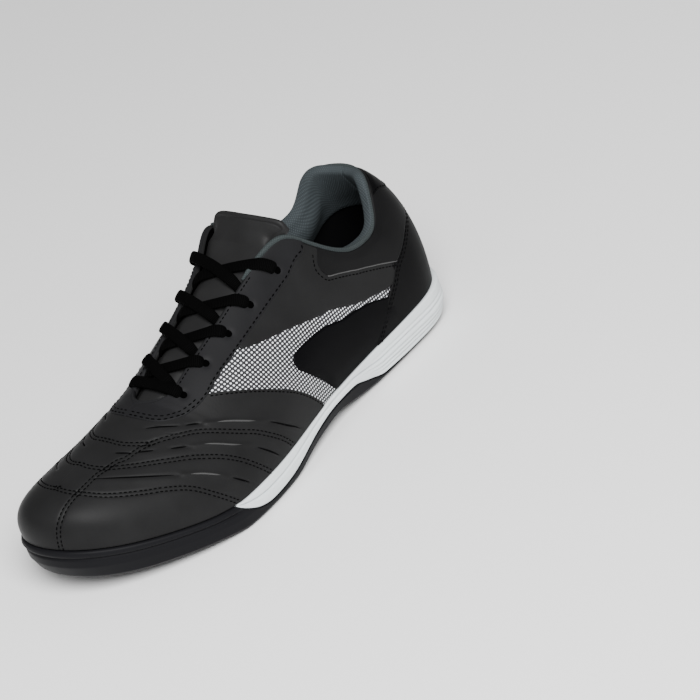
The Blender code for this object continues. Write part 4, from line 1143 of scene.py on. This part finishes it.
# Lining: depth of the roll by level, its share along the loop, and how far its crown rises and spreads
PAD_COLUMNS = ("level", "depth")
COLLAR_PAD = ((0.5, 1), (0.62, 5.5), (0.75, 8), (0.88, 7.6), (0.98, 5))
PAD_SHARE_COLUMNS = ("loop", "share")
PAD_SHARES = ((10.3, 0.4), (11, 0.75), (12, 1), (13.5, 0.95), (14.5, 0.75), (16, 0.7))
PAD_CROWN_COLUMNS = ("loop", "rise", "spread")
PAD_CROWNS = (
    (10.3, 0.6, 0), (11, 1.2, 0), (12, 2.2, 0), (13.2, 3, 1), (14, 4.6, 1.8), (14.7, 4, 1.2),
    (15.4, 2.4, 0.4), (16, 2, 0),
)
PAD_CROWN_DEPTH = 2.6
PAD_SEAM_DEPTH, PAD_SEAM_WIDTH = 0.35, 0.06
PIPING_START, PIPING_END, PIPING_RADIUS = 8.85, 10.2, 1.6


def rim_frame(at):
    """Points, normals and upward directions along the top edge of the upper."""
    below_rim = 0.95
    rim = skin(at, 1.0)
    return rim, skin_normal(at, 1.0), unit(rim - skin(at, below_rim))


def make_collar_lining():
    """A padded knit roll inside the collar, from one side of the throat round the heel to the other."""
    columns, corners = 321, 44
    bulge, tuck, lift, climb = 0.25, 0.3, 0.3, 0.7
    start, behind = PAD_SHARES[0][0], UPPER_WALL + GAP
    at = np.linspace(start, LOOP_ROWS - start, columns)
    roll = dict(zip(PAD_COLUMNS, np.array(COLLAR_PAD).T))
    share = read(PAD_SHARES, PAD_SHARE_COLUMNS, folded(at))["share"][:, None]
    share *= 1 - PAD_SEAM_DEPTH * hill(at - HEEL_ROW, PAD_SEAM_WIDTH)[:, None]
    place, level = np.meshgrid(at, roll["level"], indexing="ij")
    surface, normal = skin(place, level), skin_normal(place, level)
    back = surface - normal * behind
    front = surface - normal * (behind + share * roll["depth"])[..., None]
    rim, rim_normal, rim_up = rim_frame(at)
    crowns = read(PAD_CROWNS, PAD_CROWN_COLUMNS, folded(at))
    rise, spread = crowns["rise"][:, None], crowns["spread"][:, None]
    outer_crown = rim + rim_normal * (bulge * rise - tuck + spread) + rim_up * (lift + climb * rise)
    crown = rim - rim_normal * (behind + PAD_CROWN_DEPTH * share - spread) + rim_up * rise
    section = np.concatenate([back[:, :-1], outer_crown[:, None], crown[:, None], front[:, ::-1]], 1)
    closed = np.concatenate([section, section[:, :1]], 1)
    round_it = np.linspace(0, section.shape[1], corners, endpoint=False)
    rings = np.array([smooth_curve(points, round_it) for points in closed])
    lining = new_piece("collar_lining", *tube(rings), [LINING], "lining", ring_lengths(rings))
    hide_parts("collar_pad")


def make_piping():
    """A knit bead along the top of the throat and round the collar, thinner at its ends."""
    columns, corners, outwards, upwards, run_in = 401, 12, 0.2, 0.5, 0.25
    start, end = PIPING_START, LOOP_ROWS - PIPING_END
    at = np.linspace(start, end, columns)
    rim, normal, up = rim_frame(at)
    swell = ramp(at, start, start + run_in) * (1 - ramp(at, end - run_in, end))
    radius = PIPING_RADIUS * (0.5 + 0.5 * swell)
    rings = round_rings(rim + normal * outwards + up * upwards, normal, up, radius, corners)
    new_piece("collar_piping", *tube(rings), [PIPING], "lining", ring_lengths(rings))


def make_collar_edge_highlight():
    """A painted highlight on the collar panel's edge: a thin pale line along its lower side."""
    corners, radius, lift = 8, 0.32, PANEL_LIFT + 0.15
    for side, line in zip(("outer", "inner"), both_sides(COLLAR_EDGE)):
        centres = line["points"] + line["normals"] * lift
        rings = round_rings(centres, line["normals"], line["side"], radius, corners)
        new_piece(f"collar_edge_highlight_{side}", *tube(rings), [EDGE_HIGHLIGHT], "leather")


# Lace and eyelets

# Eyelets as places on the skin, from the toe end
EYELETS = ((6.4, 0.9), (7.23, 0.894), (7.95, 0.881), (8.62, 0.863), (9.5, 0.844))
INNER_SHIFT, INNER_RISE = -0.2, 0.02
INNER_EYELETS = EYELETS[:1] + tuple((loop + INNER_SHIFT, level + INNER_RISE) for loop, level in EYELETS[1:])
EYELET_HOLLOW, EYELET_RADIUS = 0.9, 2.2

# Lace: its section, what it lies on, where strands go under the edge, and how far they dip and arch
LACE_WIDTH, LACE_THICKNESS = 6.6, 2.2
LACE_LIFT = 2.5
LACE_COVER_LEVELS = (0.82, 1.0)
LACE_UNDER_EDGE = 1.05
LACE_UNDER_SHIFT, LACE_OVER_SHIFT = 0.15, 0.05
LACE_DIP, LACE_EDGE_DIP = 3.2, 5.2
LACE_OVER, LACE_UNDER, LACE_BAR = 1.3, -0.8, 0.3
LACE_CROSS_END, LACE_BAR_END = 0.2, 0.09


def lace_cover(at, across):
    """The surface that the lace lies on: eyestay from 2 to 1, throat edge at 1, middle of the tongue at 0."""
    points = []
    for place, turn in ((at, 1), (LOOP_ROWS - at, -1)):
        for level in LACE_COVER_LEVELS[::turn]:
            points.append(skin(place, level) + skin_normal(place, level) * LACE_LIFT)
    tongue = np.array([tongue_section(place)[TONGUE_MIDDLE] for place in at])
    side = len(LACE_COVER_LEVELS)
    points.insert(side, tongue + INSTEP_UP * LACE_LIFT)
    stack, knots = np.array(points)[::-1], np.arange(-side, side + 1)
    return np.array([smooth_curve(stack[:, k], across[k], knots)[0] for k in range(len(at))])


def make_strand(name, start, end, hump, end_dip, end_share):
    """A woven strand that dips into an eyelet at its start, and into another or under an edge at its end."""
    columns, corners, step = 65, 20, 0.05
    dip_share, round_share, start_width, end_loss, flatness = 0.12, 0.08, 0.45, 0.3, 0.8
    t = np.linspace(0, 1, columns)
    at = start[0] + (end[0] - start[0]) * t
    across = start[1] + (end[1] - start[1]) * t
    path = lace_cover(at, across)
    rise = unit(np.cross(lace_cover(at, across + step) - lace_cover(at, across - step),
                         lace_cover(at + step, across) - lace_cover(at - step, across)))
    into_start, into_end = 1 - ramp(t, 0, dip_share), ramp(t, 1 - end_share, 1)
    path += rise * (hump * np.sin(np.pi * t) ** 2 - LACE_DIP * into_start - end_dip * into_end)[:, None]
    along = unit(np.gradient(path, axis=0))
    sideways = unit(np.cross(along, rise))
    rise = np.cross(sideways, along)
    narrow = start_width + (1 - start_width) * rounded(t, round_share) - end_loss * into_end
    turn = np.linspace(0, 2 * np.pi, corners, endpoint=False)
    wide, deep = (np.sign(wave) * abs(wave) ** flatness for wave in (np.cos(turn), np.sin(turn)))
    half_width = narrow[:, None] * wide * LACE_WIDTH / 2
    half_depth = deep * LACE_THICKNESS / 2 / narrow[:, None] ** 0.5
    rings = path[:, None] + sideways[:, None] * half_width[..., None] + rise[:, None] * half_depth[..., None]
    return new_piece(name, *tube(rings), [LACE], "lace", ring_lengths(rings))


def lace_reach(level):
    """How far across the instep an eyelet lies, where the throat's edges lie at 1 and -1."""
    return 1 + (1 - level) / (1 - LACE_COVER_LEVELS[0])


def make_laces():
    """A straight bar at the toe end, then a crossing between each pair of eyelet rows."""
    outer = [(loop, lace_reach(level)) for loop, level in EYELETS]
    inner = [(loop, -lace_reach(level)) for loop, level in INNER_EYELETS]
    bar = make_strand("lace_strand_bar", outer[0], inner[0], LACE_BAR, LACE_DIP, LACE_BAR_END)
    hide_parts("lace_bar")
    for k in range(1, len(EYELETS)):
        under_end = (inner[k - 1][0] + LACE_UNDER_SHIFT, -LACE_UNDER_EDGE)
        over_end = (outer[k - 1][0] + LACE_OVER_SHIFT, LACE_UNDER_EDGE)
        under = make_strand(f"lace_strand_{k}_under", outer[k], under_end, LACE_UNDER, LACE_EDGE_DIP,
                            LACE_CROSS_END)
        over = make_strand(f"lace_strand_{k}_over", inner[k], over_end, LACE_OVER, LACE_EDGE_DIP,
                           LACE_CROSS_END)
        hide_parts(f"lace_cross_{k}")
        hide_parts(f"lace_cross_{k}")


def eyelet_places():
    """Loop and level of every eyelet, the outer row first."""
    return np.concatenate([np.array(EYELETS), np.array(INNER_EYELETS) * (-1, 1)]).T


def eyestay_relief(surface):
    """Small hollows round the punched eyelets."""
    height = np.zeros(surface.shape[:2])
    for centre in skin(*eyelet_places()):
        height -= EYELET_HOLLOW * hill(np.linalg.norm(surface - centre, axis=2), EYELET_RADIUS)
    return height


def make_eyelet_hole_shade():
    """Painted shade of the punched eyelet holes: dark ovals in the hollows, partly under the lace."""
    step, sunk, shift, flat, length, radius = 0.04, 0.55, 0.4, 0.3, 4.8, 2.1
    loop, level = eyelet_places()
    place, normal = skin(loop, level), skin_normal(loop, level)
    away = unit(skin(loop, level - step) - place)
    centres = place + normal * (TOP_LIFT - sunk) - away * shift
    capsules("eyelet_hole_shade", centres, [away, np.cross(normal, away), normal * flat], length, radius, HOLE_SHADE)


# Camera, light and floor, in metres

CAMERA_PLACE = (1.11024, 1.30794, 1.01763)
CAMERA_AIM = (-0.04211, 0.04566, 0.04068)
CAMERA_ROLL = -17.48
CAMERA_LENS, CAMERA_SENSOR, CAMERA_REACH = 192.56, 36.0, 50

# Each light: name, place, what it points at, size and power in watts
LIGHTS = (
    ("key", (0.75, 1.1, 1.45), (0, 0, 0.04), 1.2, 85),
    ("toe", (1.6, 0.2, 0.8), (0.08, 0, 0.05), 0.6, 3),
)
FLOOR_HALF, FLOOR_GREY, FLOOR_ROUGHNESS, WORLD_LIGHT = 8.0, 0.93, 0.8, 0.4


def make_camera():
    """The photograph's view, with its tilt."""
    data = bpy.data.cameras.new("photo_view")
    data.lens, data.sensor_width, data.clip_end = CAMERA_LENS, CAMERA_SENSOR, CAMERA_REACH
    camera = bpy.data.objects.new("photo_view", data)
    bpy.context.scene.collection.objects.link(camera)
    forward = (Vector(CAMERA_AIM) - Vector(CAMERA_PLACE)).normalized()
    level_right = forward.cross(Vector((0, 0, 1))).normalized()
    level_up = level_right.cross(forward)
    roll = math.radians(CAMERA_ROLL)
    right = level_right * math.cos(roll) + level_up * math.sin(roll)
    up = level_up * math.cos(roll) - level_right * math.sin(roll)
    camera.matrix_world = Matrix((right, up, -forward)).transposed().to_4x4()
    camera.location = CAMERA_PLACE
    bpy.context.scene.camera = camera


def area_light(name, place, aim, size, power):
    """A round soft light."""
    data = bpy.data.lights.new(name, "AREA")
    data.shape, data.size, data.energy = "DISK", size, power
    light = bpy.data.objects.new(name, data)
    light.location = place
    light.rotation_euler = (Vector(aim) - Vector(place)).to_track_quat("-Z", "Y").to_euler()
    bpy.context.scene.collection.objects.link(light)


def make_stage():
    """A pale floor, a white surrounding and soft lights."""
    material, _ = new_material("pale_floor", (FLOOR_GREY, FLOOR_GREY, FLOOR_GREY), FLOOR_ROUGHNESS)
    half = FLOOR_HALF
    corners = [(-half, -half, 0), (half, -half, 0), (half, half, 0), (-half, half, 0)]
    mesh = bpy.data.meshes.new("floor")
    mesh.from_pydata(corners, [], [(0, 1, 2, 3)])
    mesh.materials.append(material)
    floor = bpy.data.objects.new("floor", mesh)
    bpy.context.scene.collection.objects.link(floor)
    world = bpy.data.worlds.new("studio")
    bpy.context.scene.world = world
    world.use_nodes = True
    background = world.node_tree.nodes["Background"]
    background.inputs["Color"].default_value = (1, 1, 1, 1)
    background.inputs["Strength"].default_value = WORLD_LIGHT
    for light in LIGHTS:
        area_light(*light)


def dress_insole():
    """The footbed keeps its solid and gets a near-black finish, which paints the shade deep in the shoe."""
    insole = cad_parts["insole"]
    insole.data.materials.clear()
    insole.data.materials.append(FOOTBED_AND_INSIDE_SHADE)


def main():
    make_upper()
    make_panels()
    make_throat_bridge()
    make_pleats()
    make_midsole()
    make_outsole()
    make_seams()
    make_tongue()
    make_collar_lining()
    make_piping()
    make_collar_edge_highlight()
    make_laces()
    make_eyelet_hole_shade()
    dress_insole()
    make_stage()
    make_camera()


main()
